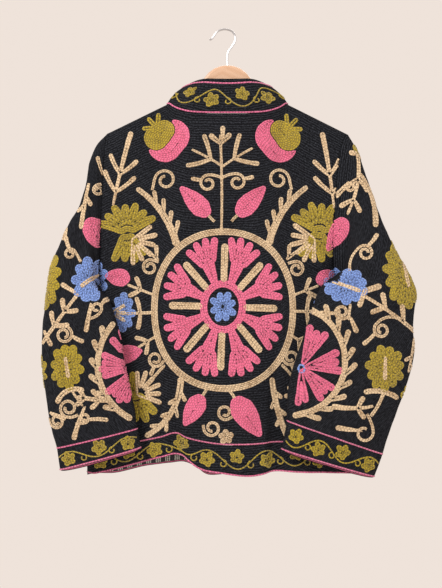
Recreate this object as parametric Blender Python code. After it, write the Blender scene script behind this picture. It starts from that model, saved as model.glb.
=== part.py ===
"""An embroidered stand-collar jacket hanging on a wooden hanger, seen from its back.

Run it with: blender --background --python part.py
The frame is in metres with +Z up. The origin is the top of the inside of the hanger's hook.
The jacket's back faces -Y and its fronts face +Y. Tables and sizes below are in millimetres,
X in them is measured from the jacket's centre line, and Z in the cloth's tables from a level
that is CLOTH_DROP below the origin.
"""

import math

import bmesh
import bpy
import numpy as np
from mathutils import Vector

MM = 0.001

# Cloth
CLOTH = 2.0
SEAM_GAP = 0.3
CLOTH_DROP = 8.5
TAPE_THICKNESS = 1.0
TAPE_HEIGHT = 14.0
TAPE_INSET = 1.5

# The hanger
CENTRE_X = 8.5
WIRE_RADIUS = 1.8
BORE_SIDES = 24
WOOD_THICKNESS = 12.8
WOOD_ROUNDING = 4.4
STEM_DEPTH = 18.0
BORE_SPARE = 2.0

# The body, with X from the centre line, left then right as the photograph shows them
NECK_HALF = 106.0
NECK_SIDE_Z = -121.0
SHOULDER_WRAP = 9.5
SHOULDER_SLOPE = 0.49
SETTLE_DROP = 260.0
CENTRE_FRONT_GAP = (5.0, 10.0)
NECK_SHARE = 0.55
SHOULDER_POWER = 0.9
NECK_LEAN = 0.75
NECK_RISE = 0.55

# Armhole rings: X and Z of the shoulder tip and the underarm, the half depth, how far each half leans
ARMHOLES = {
    "left": {
        "tip": (-207.0, -170.5), "underarm": (-218.0, -430.0), "depth": 15.0,
        "back_lean": -4.0, "front_lean": 0.0,
    },
    "right": {
        "tip": (209.0, -172.5), "underarm": (191.5, -420.0), "depth": 15.0,
        "back_lean": -16.0, "front_lean": 6.0,
    },
}
# The wall's direction round an armhole: how far it points to the side above and more below,
# the share of the way down where that starts, and how far it points to the back and front
ARMHOLE_SIDE = 0.15
ARMHOLE_SIDE_BELOW = 0.85
ARMHOLE_SIDE_START = 0.6
ARMHOLE_OUT = 1.5
RING_POWER = 2.6
LEAN_SPREAD = 4
ARMHOLE_STEPS = 14
SKIRT_ROWS = 8
BAND_ROWS = 3

# Height, half width left, half width right, depth of the back, depth of the front
BODY_SECTIONS = [
    (-120.0, 218.0, 191.5, 12.0, 11.0),
    (-250.0, 218.0, 191.5, 20.0, 15.0),
    (-425.0, 218.0, 191.5, 27.0, 20.0),
    (-520.0, 225.0, 209.0, 29.0, 23.0),
    (-620.0, 236.0, 226.0, 30.0, 26.0),
    (-770.0, 247.0, 238.0, 30.0, 29.0),
]

# Across the back: X, height of the band's seam, height of the hem
BACK_HEM = [
    (-228.0, -714.0, -758.0),
    (-196.0, -707.0, -750.0),
    (-150.0, -701.0, -737.0),
    (-112.0, -693.0, -727.0),
    (-88.0, -687.0, -722.0),
    (-72.0, -692.0, -728.0),
    (-50.0, -698.0, -743.0),
    (-8.0, -704.0, -752.0),
    (40.0, -704.0, -757.0),
    (84.0, -702.0, -750.5),
    (120.0, -702.0, -753.0),
    (180.0, -706.0, -755.0),
    (228.0, -714.0, -758.0),
]

# Across the fronts: X, height of the band's seam, height of the hem
FRONT_HEM = [
    (-228.0, -714.0, -762.0),
    (-200.0, -714.0, -763.0),
    (-150.0, -705.0, -753.0),
    (-100.0, -698.0, -746.0),
    (-76.0, -697.0, -744.0),
    (-58.0, -704.0, -752.0),
    (-40.0, -715.0, -764.0),
    (-4.0, -718.0, -767.0),
    (30.0, -708.0, -755.0),
    (120.0, -704.0, -751.0),
    (180.0, -708.0, -755.0),
    (228.0, -714.0, -762.0),
]

# Soft pleats on the back: X at the hem, X and height where each starts, the side that it opens to
BACK_FOLDS = [
    {"hem_x": -77.0, "start_x": -90.0, "start_z": -560.0, "opens": 1},
    {"hem_x": 70.0, "start_x": 77.0, "start_z": -440.0, "opens": -1},
]
FOLD_STEP = 15.0
FOLD_SOFT = 2.6
FOLD_FOOT_Z = -752.0
FOLD_LEAN = 0.55
FOLD_MIDDLE = 5.0
FOLD_MIDDLE_FADE = 30.0
SOFT_LIMIT = 60.0
BACK_NECK_X = [0, 20, 40, 54, 61, 67, 73, 80, 90, 98, 103, 106]
FRONT_NECK_TURNS = [90, 100, 110, 122, 135, 148, 160, 170, 180]
SIDE_COLUMNS = 6

# The collar, around from the middle of the back to the front edge:
# turn, X, Y and Z of the neck seam, X, Y and Z of the top edge
COLLAR = [
    (0, 0.0, -26.0, -141.0, 0.0, -25.0, -81.5),
    (20, 36.0, -25.0, -140.5, 20.0, -24.0, -81.0),
    (40, 67.5, -21.0, -137.5, 36.0, -20.5, -80.0),
    (55, 86.0, -15.5, -131.5, 46.5, -14.5, -80.0),
    (70, 97.5, -9.3, -125.0, 56.0, -8.5, -81.5),
    (80, 102.5, -5.2, -121.3, 65.0, -4.5, -84.5),
    (90, 106.0, 0.0, -121.0, 72.0, 0.0, -88.5),
    (100, 103.5, 5.5, -121.5, 71.0, 5.5, -92.0),
    (110, 99.0, 9.4, -128.5, 68.0, 10.5, -99.0),
    (122, 91.5, 12.0, -143.0, 61.0, 14.0, -109.0),
    (135, 80.0, 14.8, -164.5, 52.0, 17.0, -123.0),
    (148, 63.0, 17.6, -187.0, 41.0, 20.0, -137.0),
    (160, 43.0, 19.8, -201.5, 30.0, 22.0, -149.0),
    (180, 5.0, 22.0, -212.0, 8.0, 25.0, -157.0),
]
COLLAR_ROWS = 4
COLLAR_BULGE = 4.0

# Sleeves: X and Z of the outer edge, X and Z of the inner edge, Y of the middle, half depth.
# The first row is worked out from the armhole.
SLEEVES = {
    "left": [
        (-226.0, -191.5, -223.5, -431.0, -3.0, 21.0),
        (-237.5, -221.5, -226.0, -434.0, -6.0, 23.0),
        (-243.0, -258.5, -226.0, -437.0, -10.0, 23.0),
        (-252.5, -294.5, -223.5, -440.0, -15.0, 22.5),
        (-270.5, -327.5, -218.5, -443.5, -21.0, 22.0),
        (-286.5, -367.0, -211.5, -447.5, -28.0, 21.0),
        (-300.0, -405.0, -204.5, -453.0, -35.0, 20.0),
        (-305.0, -446.0, -197.5, -465.0, -41.0, 19.0),
        (-310.0, -489.5, -189.0, -489.5, -46.0, 18.0),
        (-311.5, -535.0, -180.0, -523.0, -49.0, 17.5),
        (-310.5, -576.0, -172.5, -562.5, -51.0, 17.0),
        (-303.5, -622.5, -164.5, -602.5, -52.0, 16.0),
        (-295.5, -669.5, -156.0, -640.0, -52.5, 15.0),
        (-285.5, -708.0, -150.5, -675.5, -53.0, 14.0),
        (-280.0, -743.5, -145.0, -706.5, -53.0, 14.0),
    ],
    "right": [
        (222.5, -196.5, 194.5, -421.0, -3.0, 21.0),
        (232.5, -226.5, 195.5, -423.5, -7.0, 23.0),
        (243.0, -260.0, 193.5, -425.5, -13.0, 23.0),
        (256.5, -302.0, 186.0, -427.0, -22.0, 22.5),
        (270.5, -343.0, 177.0, -427.5, -30.0, 22.0),
        (287.5, -381.5, 167.0, -429.0, -37.0, 21.0),
        (306.5, -416.5, 158.5, -434.0, -42.0, 20.0),
        (316.5, -449.0, 151.5, -446.0, -45.5, 19.0),
        (313.5, -479.5, 144.0, -467.0, -48.0, 18.0),
        (311.0, -510.0, 136.0, -494.5, -49.5, 17.5),
        (312.5, -541.5, 125.0, -527.0, -51.0, 17.0),
        (307.5, -575.0, 111.0, -565.5, -51.5, 16.5),
        (296.5, -609.5, 102.5, -603.5, -52.0, 16.0),
        (281.5, -649.0, 100.0, -631.0, -52.5, 15.0),
        (259.0, -718.0, 99.5, -662.5, -53.0, 14.0),
        (245.0, -755.0, 90.5, -709.0, -53.0, 14.0),
    ],
}
CUFF_SEAM_FROM_END = 2
CUFF_TILT = 8.0
CUFF_TILT_ROWS = 3

# The wooden hanger's outline on one side: X and Z of the top, X and Z of the bottom
WOOD_TOP = [
    (0.0, -61.0), (14.0, -63.0), (27.5, -69.5), (38.0, -80.5), (46.0, -92.5),
    (57.0, -102.5), (72.0, -114.5), (88.0, -126.5), (104.0, -135.0), (145.0, -156.8), (184.0, -182.0),
]
WOOD_END = [(190.0, -189.0), (192.5, -196.0), (190.5, -203.0), (184.0, -206.0)]
WOOD_BOTTOM = [(145.0, -190.5), (100.0, -168.5), (50.0, -147.5), (0.0, -136.0)]

# The hook's wire: X and Z of its middle, from the wood up and round to the tip
HOOK = [
    (8.5, -80.0), (8.5, -60.0), (8.4, -46.0), (10.0, -37.0), (16.5, -28.0), (21.6, -19.0), (22.0, -10.0),
    (17.0, -2.0), (9.0, 1.2), (0.0, 1.6), (-8.0, -1.4), (-14.5, -9.0), (-18.5, -14.6), (-22.5, -16.4),
]
HOOK_STEPS = 44
WOOD_TOP_STEPS = 20
WOOD_BOTTOM_STEPS = 8
SHARP_ANGLE = 40.0
WELD = 0.01

COLOURS = {
    "black_cloth": (0.018, 0.020, 0.026, 0.85, 0.0),
    "tape": (0.05, 0.05, 0.05, 0.8, 0.0),
    "wood": (0.62, 0.40, 0.26, 0.5, 0.0),
    "steel": (0.55, 0.55, 0.56, 0.25, 1.0),
}


def smooth_table(rows, column, at):
    """A column of a table as a smooth function of its first column."""
    keys = np.array([row[0] for row in rows], float)
    values = np.array([row[column] for row in rows], float)
    if keys[0] > keys[-1]:
        keys, values = keys[::-1], values[::-1]
    at = np.clip(np.asarray(at, float), keys[0], keys[-1])
    slopes = np.gradient(values, keys)
    i = np.clip(np.searchsorted(keys, at, side="right") - 1, 0, len(keys) - 2)
    width = keys[i + 1] - keys[i]
    s = (at - keys[i]) / width
    return (
        (2 * s**3 - 3 * s**2 + 1) * values[i]
        + (s**3 - 2 * s**2 + s) * width * slopes[i]
        + (3 * s**2 - 2 * s**3) * values[i + 1]
        + (s**3 - s**2) * width * slopes[i + 1]
    )


def smooth_step(share):
    """0 to 1, flat at both ends."""
    share = np.clip(share, 0.0, 1.0)
    return share * share * (3 - 2 * share)


def ring_shape(turn):
    """The two sides of a flattened round section at an angle, each from -1 to 1."""
    def side(value):
        return np.sign(value) * np.abs(value) ** (2 / RING_POWER)

    return side(np.cos(turn)), side(np.sin(turn))


def armhole_lean(side, turn, half):
    """How far an armhole's front or back half stands to the side of the line from tip to underarm."""
    return ARMHOLES[side]["back_lean" if half < 0 else "front_lean"] * ring_shape(turn)[1]


def armhole_point(side, turn, half):
    """A point of an armhole. Turn goes from 0 at the shoulder tip to pi at the underarm."""
    hole = ARMHOLES[side]
    along, across = ring_shape(turn)
    tip, under = hole["tip"], hole["underarm"]
    x = (tip[0] + under[0]) / 2 + along * (tip[0] - under[0]) / 2 + armhole_lean(side, turn, half)
    z = (tip[1] + under[1]) / 2 + along * (tip[1] - under[1]) / 2
    return np.array([x, half * hole["depth"] * across, z])


def armhole_outward(side, turn, half):
    """The direction of the wall's thickness at an armhole: away from the sleeve's inside."""
    sign = -1.0 if side == "left" else 1.0
    low = smooth_step((turn / math.pi - ARMHOLE_SIDE_START) / (1 - ARMHOLE_SIDE_START))
    aside = sign * (ARMHOLE_SIDE + ARMHOLE_SIDE_BELOW * low)
    direction = Vector((aside, half * math.sin(turn) * ARMHOLE_OUT, math.cos(turn)))
    return np.array(direction.normalized())


def shoulder_z(x):
    """Height of the shoulder seam."""
    tip = ARMHOLES["left" if x < 0 else "right"]["tip"]
    share = (abs(x) - NECK_HALF) / (abs(tip[0]) - NECK_HALF)
    return NECK_SIDE_Z + share * (tip[1] - NECK_SIDE_Z)


def body_columns(half):
    """The columns of the back or fronts: share across from -1 to 1, X at the top and turn at the neck."""
    if half < 0:
        rows = [(row[1], row[0]) for row in COLLAR if row[0] <= 90]
        turns = [float(np.interp(x, *zip(*rows))) for x in BACK_NECK_X]
    else:
        turns = FRONT_NECK_TURNS[::-1]
    neck = [(float(smooth_table(COLLAR, 1, turn)), turn) for turn in turns]
    if half > 0:
        neck[0] = (0.0, turns[0])
    left, right = ARMHOLES["left"]["tip"][0], ARMHOLES["right"]["tip"][0]
    columns = [(-x, turn) for x, turn in neck[:0:-1]] + neck
    for i in range(1, SIDE_COLUMNS + 1):
        share = math.sin(math.pi / 2 * i / SIDE_COLUMNS) ** SHOULDER_POWER
        columns.insert(0, (-NECK_HALF + (left + NECK_HALF) * share, None))
        columns.append((NECK_HALF + (right - NECK_HALF) * share, None))
    return [(2 * (x - left) / (right - left) - 1, x, turn) for x, turn in columns]


def top_edge(x, turn):
    """Height of a panel's top edge and how far it stands from the hanger."""
    if turn is None:
        return shoulder_z(x), 0.0
    return float(smooth_table(COLLAR, 3, turn)), abs(float(smooth_table(COLLAR, 2, turn)))


def fold_depth(x, z):
    """How far the pleats bring the middle of the back forward."""
    depth = FOLD_STEP
    for fold in BACK_FOLDS:
        down = float(np.clip((fold["start_z"] - z) / (fold["start_z"] - FOLD_FOOT_Z), 0, 1))
        line = fold["start_x"] + (fold["hem_x"] - fold["start_x"]) * down
        away = float(np.clip(fold["opens"] * (line - x) / FOLD_SOFT, -SOFT_LIMIT, SOFT_LIMIT))
        beside = 1 / (1 + math.exp(away))
        if fold["start_x"] * x > 0:
            depth *= beside * float(smooth_step(down)) ** FOLD_LEAN
    middle = smooth_step((abs(x) - FOLD_MIDDLE) / FOLD_MIDDLE_FADE)
    highest = max(fold["start_z"] for fold in BACK_FOLDS)
    foot = smooth_step((highest - z) / (highest - FOLD_FOOT_Z))
    return float(depth * middle + FOLD_STEP * foot**FOLD_LEAN * (1 - middle))


def body_depth(x, z, across, top, stand, edge, half):
    """Distance of the back or front from the middle plane. Across is -1 to 1 between the sides."""
    drop = max(top - z, 0.0)
    over = 1 - math.sqrt(1 - min(stand / SHOULDER_WRAP, 1.0) ** 2)
    wrap = SHOULDER_WRAP * math.sqrt(1 - (1 - min(drop / SHOULDER_WRAP + over, 1.0)) ** 2)
    full = float(smooth_table(BODY_SECTIONS, 3 if half < 0 else 4, z))
    if half < 0:
        full += fold_depth(x, z)
    settled = float(smooth_step(drop / SETTLE_DROP))
    beside = float(smooth_step((abs(across) - NECK_SHARE) / (1 - NECK_SHARE)))
    hung = max(stand, wrap) * (1 - beside) + edge * beside
    roundness = math.sqrt(max(1 - across**4, 0.0))
    return hung * (1 - settled) + (edge + (full - edge) * roundness) * settled


def edge_rows(side, half):
    """The side edge of a panel from the shoulder tip to the hem's band, as points."""
    points = [armhole_point(side, math.pi * i / ARMHOLE_STEPS, half) for i in range(ARMHOLE_STEPS + 1)]
    hem = BACK_HEM if half < 0 else FRONT_HEM
    sign = -1.0 if side == "left" else 1.0
    column = 1 if side == "left" else 2
    bottom = hem[0][1]
    start = points[-1][2]
    for i in range(1, SKIRT_ROWS + 1):
        z = start + (bottom - start) * i / SKIRT_ROWS
        points.append(np.array([sign * float(smooth_table(BODY_SECTIONS, column, z)), 0.0, z]))
    return points


def body_grid(half):
    """Points of the back or of both fronts from the top edge down to the hem, one list for each row."""
    hem = BACK_HEM if half < 0 else FRONT_HEM
    left, right = edge_rows("left", half), edge_rows("right", half)
    seam_row = len(left) - 1
    rows = []
    for j in range(seam_row + BAND_ROWS + 1):
        i = min(j, seam_row)
        row = []
        for across, top_x, turn in body_columns(half):
            s = (across + 1) / 2
            top_z, stand = top_edge(top_x, turn)
            seam_x = left[-1][0] + (right[-1][0] - left[-1][0]) * s
            lean = [
                armhole_lean(side, math.pi * min(i / ARMHOLE_STEPS, 1.0), half) for side in ("left", "right")
            ]
            straight = [left[i][0] - lean[0], right[i][0] - lean[1]]
            x = straight[0] + (straight[1] - straight[0]) * s + lean[across > 0] * across**LEAN_SPREAD
            down = [(e[0][2] - e[i][2]) / (e[0][2] - e[-1][2]) for e in (left, right)]
            seam_z = float(smooth_table(hem, 1, seam_x))
            z = top_z + (seam_z - top_z) * (down[0] * (1 - s) + down[1] * s)
            if j > seam_row:
                z += (float(smooth_table(hem, 2, x)) - seam_z) * (j - seam_row) / BAND_ROWS
            edge = abs(left[i][1]) * (1 - s) + abs(right[i][1]) * s
            row.append(np.array([x, half * body_depth(x, z, across, top_z, stand, edge, half), z]))
        rows.append(row)
    return np.array(rows), seam_row


def normals_of(grid, closed):
    """Unit normals of a grid of points. Closed says that each row is a ring."""
    if closed:
        across = np.roll(grid, -1, axis=1) - np.roll(grid, 1, axis=1)
    else:
        across = np.gradient(grid, axis=1)
    along = np.gradient(grid, axis=0)
    normal = np.cross(across, along)
    return normal / np.maximum(np.linalg.norm(normal, axis=2, keepdims=True), 1e-9)


def material(name):
    """A Principled material from the table of colours."""
    found = bpy.data.materials.get(name)
    if found:
        return found
    red, green, blue, roughness, metallic = COLOURS[name]
    made = bpy.data.materials.new(name)
    made.use_nodes = True
    shader = made.node_tree.nodes["Principled BSDF"]
    shader.inputs["Base Color"].default_value = (red, green, blue, 1.0)
    shader.inputs["Roughness"].default_value = roughness
    shader.inputs["Metallic"].default_value = metallic
    return made


def add_object(name, mesh, finish, collection):
    """An object with its material, smooth but for its sharp edges."""
    mesh.materials.append(material(finish))
    mesh.shade_smooth()
    mesh.set_sharp_from_angle(angle=math.radians(SHARP_ANGLE))
    made = bpy.data.objects.new(name, mesh)
    collection.objects.link(made)
    return made


def add_quad(bm, corners):
    """A four-sided piece of surface, split along its shorter diagonal."""
    a, b, c, d = corners
    if (a.co - c.co).length <= (b.co - d.co).length:
        bm.faces.new([a, b, c])
        bm.faces.new([a, c, d])
    else:
        bm.faces.new([a, b, d])
        bm.faces.new([b, c, d])


def wall(name, outer, inner, closed, finish, collection):
    """A cloth wall between two grids of points in millimetres. Closed says that each row is a ring."""
    bm = bmesh.new()
    rows, columns = outer.shape[:2]
    shift = np.array([CENTRE_X, 0.0, -CLOTH_DROP])
    sheets = []
    for grid in (outer, inner):
        sheets.append([[bm.verts.new(point) for point in row] for row in ((grid + shift) * MM).tolist()])
    last = columns if closed else columns - 1
    for i in range(rows - 1):
        for j in range(last):
            k = (j + 1) % columns
            for sheet, order in zip(sheets, (1, -1)):
                corners = [sheet[i][j], sheet[i + 1][j], sheet[i + 1][k], sheet[i][k]]
                add_quad(bm, corners[::order])
    out, back = sheets
    for j in range(last):
        k = (j + 1) % columns
        add_quad(bm, [out[0][j], out[0][k], back[0][k], back[0][j]])
        add_quad(bm, [out[-1][k], out[-1][j], back[-1][j], back[-1][k]])
    if not closed:
        for i in range(rows - 1):
            add_quad(bm, [out[i + 1][0], out[i][0], back[i][0], back[i + 1][0]])
            add_quad(bm, [out[i][-1], out[i + 1][-1], back[i + 1][-1], back[i][-1]])
    bmesh.ops.recalc_face_normals(bm, faces=bm.faces)
    mesh = bpy.data.meshes.new(name)
    bm.to_mesh(mesh)
    bm.free()
    return add_object(name, mesh, finish, collection)


def neck_outward(turn, sign):
    """The direction of the wall's thickness at the neck seam."""
    angle = math.radians(turn)
    aside = sign * NECK_LEAN * math.sin(angle)
    return np.array(Vector((aside, -math.cos(angle), NECK_RISE)).normalized())


def body_normals(grid, half):
    """Outward directions over a body grid, with the shared ones at shoulders, sides, neck and armholes."""
    normals = normals_of(grid, closed=False)
    if half < 0:
        normals *= np.sign(-normals[len(grid) // 2, grid.shape[1] // 2, 1]) or 1.0
    else:
        normals *= np.sign(normals[len(grid) // 2, grid.shape[1] // 2, 1]) or 1.0
    for j, (_, x, turn) in enumerate(body_columns(half)):
        if turn is None:
            normals[0][j] = np.array(Vector((SHOULDER_SLOPE * np.sign(x), 0.0, 1.0)).normalized())
        else:
            normals[0][j] = neck_outward(turn, np.sign(x))
    between = normals[0] + normals[2]
    normals[1] = between / np.linalg.norm(between, axis=1, keepdims=True)
    for column, side in ((0, "left"), (-1, "right")):
        sign = -1.0 if side == "left" else 1.0
        for i in range(len(grid)):
            if i <= ARMHOLE_STEPS:
                normals[i][column] = armhole_outward(side, math.pi * i / ARMHOLE_STEPS, half)
            else:
                normals[i][column] = np.array([sign, 0.0, 0.0])
    return normals


def seamed(grid, half):
    """The grid drawn back by half a seam gap at the shoulders, sides, armholes and neck."""
    moved = grid.copy()
    gap = SEAM_GAP / 2
    for j, (_, x, turn) in enumerate(body_columns(half)):
        if abs(x) > NECK_HALF - 0.01:
            moved[0, j, 1] += half * gap
        if turn is not None:
            moved[0, j, 2] -= gap
    for column, inward in ((0, 1.0), (-1, -1.0)):
        moved[: ARMHOLE_STEPS + 1, column, 0] += inward * gap
        moved[ARMHOLE_STEPS:, column, 1] += half * gap
    return moved


def split_band(grid, normals, seam_row, name, band_name, collection):
    """The panel above the band's seam, and the band below it."""
    panel, band = grid[: seam_row + 1].copy(), grid[seam_row:].copy()
    panel[-1, :, 2] += SEAM_GAP / 2
    band[0, :, 2] -= SEAM_GAP / 2
    wall(name, panel, panel - CLOTH * normals[: seam_row + 1], False, "black_cloth", collection)
    wall(band_name, band, band - CLOTH * normals[seam_row:], False, "black_cloth", collection)
    return band, normals[seam_row:]


def build_back(collection):
    """The back and its hem band."""
    grid, seam_row = body_grid(-1)
    normals = body_normals(grid, -1)
    split_band(seamed(grid, -1), normals, seam_row, "back_panel", "back_hem_band", collection)


def build_front(side, collection):
    """A front and its hem band, with a facing tape inside the hem of the one whose inside shows."""
    grid, seam_row = body_grid(1)
    centre = grid.shape[1] // 2
    picked = slice(0, centre + 1) if side == "left" else slice(centre, None)
    sign = -1.0 if side == "left" else 1.0
    normals = body_normals(grid, 1)[:, picked]
    moved = seamed(grid, 1)[:, picked]
    middle = -1 if side == "left" else 0
    top, foot = CENTRE_FRONT_GAP
    depth = np.linspace(0, 1, len(grid))
    moved[:, middle, 0] = sign * (top + (foot - top) * depth)
    band, band_normals = split_band(
        moved, normals, seam_row, side + "_front", side + "_front_hem_band", collection
    )
    if side == "left":
        hem, normal = band[-1], band_normals[-1]
        lift = np.array([0.0, 0.0, 1.0])
        foot_row = hem + TAPE_INSET * lift
        head_row = hem + (TAPE_INSET + TAPE_HEIGHT) * lift
        outer = np.array([head_row, foot_row])[:, 1:] - (CLOTH + SEAM_GAP) * normal[1:]
        wall(
            "left_front_facing_tape", outer, outer - TAPE_THICKNESS * normal[1:], False, "tape", collection
        )


def sleeve_grid(side):
    """Rings of a sleeve from the armhole to the end of the cuff."""
    turns = [math.pi * i / ARMHOLE_STEPS for i in range(2 * ARMHOLE_STEPS)]
    rings = []
    first = []
    for turn in turns:
        if turn <= math.pi:
            first.append(armhole_point(side, turn, -1))
        else:
            first.append(armhole_point(side, 2 * math.pi - turn, 1))
    rings.append(first)
    rows = SLEEVES[side]
    for number, (outer_x, outer_z, inner_x, inner_z, middle_y, depth) in enumerate(rows):
        ring = []
        from_end = len(rows) - 1 - number
        tilt = CUFF_TILT * (1 - min(from_end / CUFF_TILT_ROWS, 1.0))
        for turn in turns:
            along, across = ring_shape(turn)
            x = (outer_x + inner_x) / 2 + along * (outer_x - inner_x) / 2
            z = (outer_z + inner_z) / 2 + along * (outer_z - inner_z) / 2
            ring.append(np.array([x, middle_y - depth * across, z + tilt * min(across, 0.0)]))
        rings.append(ring)
    return np.array(rings)


def build_sleeve(side, collection):
    """A sleeve, its cuff band and the facing tape inside the cuff."""
    grid = sleeve_grid(side)
    normals = normals_of(grid, closed=True)
    middle = grid.mean(axis=1, keepdims=True)
    if np.sum((grid - middle) * normals) < 0:
        normals = -normals
    turns = [math.pi * i / ARMHOLE_STEPS for i in range(2 * ARMHOLE_STEPS)]
    for k, turn in enumerate(turns):
        if turn <= math.pi:
            normals[0][k] = armhole_outward(side, turn, -1)
        else:
            normals[0][k] = armhole_outward(side, 2 * math.pi - turn, 1)
    sign = -1.0 if side == "left" else 1.0
    moved = grid.copy()
    moved[0, :, 0] += sign * SEAM_GAP / 2
    seam = len(grid) - CUFF_SEAM_FROM_END
    sleeve, cuff = moved[: seam + 1].copy(), moved[seam:].copy()
    drop = (grid[seam + 1] - grid[seam]).mean(axis=0)
    drop /= np.linalg.norm(drop)
    sleeve[-1] -= drop * SEAM_GAP / 2
    cuff[0] += drop * SEAM_GAP / 2
    wall(side + "_sleeve", sleeve, sleeve - CLOTH * normals[: seam + 1], True, "black_cloth", collection)
    middle_ring = (cuff[0] + cuff[-1]) / 2
    cuff = np.array([cuff[0], middle_ring, cuff[-1]])
    cuff_normals = np.array([normals[seam], (normals[seam] + normals[-1]) / 2, normals[-1]])
    cuff_normals /= np.linalg.norm(cuff_normals, axis=2, keepdims=True)
    wall(side + "_cuff_band", cuff, cuff - CLOTH * cuff_normals, True, "black_cloth", collection)
    length = np.linalg.norm(cuff[-1] - cuff[0], axis=1, keepdims=True)
    up = (cuff[0] - cuff[-1]) / length
    foot = cuff[-1] + up * TAPE_INSET
    head = cuff[-1] + up * (TAPE_INSET + TAPE_HEIGHT)
    tape = np.array([head, foot]) - (CLOTH + SEAM_GAP) * normals[-1]
    wall(
        side + "_cuff_facing_tape", tape, tape - TAPE_THICKNESS * normals[-1], True, "tape", collection
    )


def build_collar(collection):
    """The stand collar, from one front edge round the back to the other."""
    seam, crown, outward = [], [], []
    back = [(turn, np.sign(x)) for _, x, turn in body_columns(-1) if turn is not None]
    front = [(turn, 1.0) for turn in FRONT_NECK_TURNS[1:]]
    path = [(turn, -1.0) for turn, _ in reversed(front)] + back + front
    for turn, sign in path:
        base = [float(smooth_table(COLLAR, c, turn)) for c in (1, 2, 3)]
        head = [float(smooth_table(COLLAR, c, turn)) for c in (4, 5, 6)]
        seam.append([sign * base[0], base[1], base[2] + SEAM_GAP / 2])
        crown.append([sign * head[0], head[1], head[2]])
        outward.append(neck_outward(turn, sign))
    seam, crown, outward = np.array(seam, float), np.array(crown, float), np.array(outward)
    rows = []
    for i in range(COLLAR_ROWS + 1):
        share = i / COLLAR_ROWS
        bulge = COLLAR_BULGE * math.sin(math.pi * share)
        rows.append(crown * (1 - share) + seam * share + bulge * outward)
    grid = np.array(rows)
    normals = normals_of(grid, closed=False)
    if np.sum(normals[1:-1] * outward) < 0:
        normals = -normals
    normals[-1] = outward
    wall("collar", grid, grid - CLOTH * normals, False, "black_cloth", collection)


def smooth_path(points, steps):
    """Points evenly along a smooth curve through the given ones."""
    points = np.array(points, float)
    length = np.concatenate([[0], np.cumsum(np.linalg.norm(np.diff(points, axis=0), axis=1))])
    at = np.linspace(0, length[-1], steps)
    rows = [(d, *p) for d, p in zip(length, points)]
    return np.array([smooth_table(rows, c + 1, at) for c in range(points.shape[1])]).T


def mesh_from_curve(made):
    """A mesh with closed caps from a curve object, which it removes."""
    bpy.context.view_layer.update()
    graph = bpy.context.evaluated_depsgraph_get()
    mesh = bpy.data.meshes.new_from_object(made.evaluated_get(graph))
    bm = bmesh.new()
    bm.from_mesh(mesh)
    bmesh.ops.remove_doubles(bm, verts=bm.verts, dist=WELD * MM)
    bm.to_mesh(mesh)
    bm.free()
    bpy.data.objects.remove(made)
    return mesh


def build_wood(collection, cutters):
    """The hanger's wooden arms, with a bore for the hook's stem."""
    right = smooth_path(WOOD_TOP, WOOD_TOP_STEPS)[1:]
    low = smooth_path(WOOD_BOTTOM, WOOD_BOTTOM_STEPS)
    half = [(x, z) for x, z in right] + WOOD_END + [(x, z) for x, z in low]
    outline = [WOOD_TOP[0]] + half + [(-x, z) for x, z in reversed(half[:-1])]
    curve = bpy.data.curves.new("wood_outline", "CURVE")
    curve.dimensions = "2D"
    curve.fill_mode = "BOTH"
    curve.bevel_depth = WOOD_ROUNDING * MM
    curve.bevel_resolution = 1
    curve.offset = -WOOD_ROUNDING * MM
    curve.extrude = (WOOD_THICKNESS / 2 - WOOD_ROUNDING) * MM
    spline = curve.splines.new("POLY")
    spline.points.add(len(outline) - 1)
    for point, (x, z) in zip(spline.points, outline):
        point.co = (x * MM, z * MM, 0.0, 1.0)
    spline.use_cyclic_u = True
    flat = bpy.data.objects.new("wood_outline", curve)
    collection.objects.link(flat)
    mesh = mesh_from_curve(flat)
    bm = bmesh.new()
    bm.from_mesh(mesh)
    for vert in bm.verts:
        x, z, y = vert.co
        vert.co = (x + CENTRE_X * MM, y, z)
    bmesh.ops.recalc_face_normals(bm, faces=bm.faces)
    bm.to_mesh(mesh)
    bm.free()
    wood = add_object("wooden_hanger", mesh, "wood", collection)
    bpy.ops.mesh.primitive_cylinder_add(
        vertices=BORE_SIDES,
        radius=(WIRE_RADIUS + SEAM_GAP) * MM,
        depth=2 * (STEM_DEPTH + BORE_SPARE) * MM,
        location=(CENTRE_X * MM, 0.0, WOOD_TOP[0][1] * MM),
    )
    cutter = bpy.context.object
    cutter.name = "stem_bore"
    cutter.hide_render = True
    cutter.display_type = "WIRE"
    for holder in list(cutter.users_collection):
        holder.objects.unlink(cutter)
    cutters.objects.link(cutter)
    bore = wood.modifiers.new("bore", "BOOLEAN")
    bore.operation = "DIFFERENCE"
    bore.solver = "EXACT"
    bore.object = cutter


def build_hook(collection):
    """The hanger's wire hook, whose stem stands in the wood."""
    points = smooth_path(HOOK, HOOK_STEPS)
    curve = bpy.data.curves.new("hanger_hook", "CURVE")
    curve.dimensions = "3D"
    curve.bevel_depth = WIRE_RADIUS * MM
    curve.bevel_resolution = 2
    curve.use_fill_caps = True
    spline = curve.splines.new("POLY")
    spline.points.add(len(points) - 1)
    for point, (x, z) in zip(spline.points, points):
        point.co = (x * MM, 0.0, z * MM, 1.0)
    made = bpy.data.objects.new("hanger_hook", curve)
    curve.materials.append(material("steel"))
    collection.objects.link(made)


def main():
    """Builds all pieces in an empty scene."""
    for old in list(bpy.data.objects):
        bpy.data.objects.remove(old)
    jacket = bpy.data.collections.new("suzani_jacket")
    cutters = bpy.data.collections.new("cutters")
    bpy.context.scene.collection.children.link(jacket)
    bpy.context.scene.collection.children.link(cutters)
    build_back(jacket)
    for side in ("left", "right"):
        build_front(side, jacket)
        build_sleeve(side, jacket)
    build_collar(jacket)
    build_wood(jacket, cutters)
    build_hook(jacket)


main()
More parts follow.
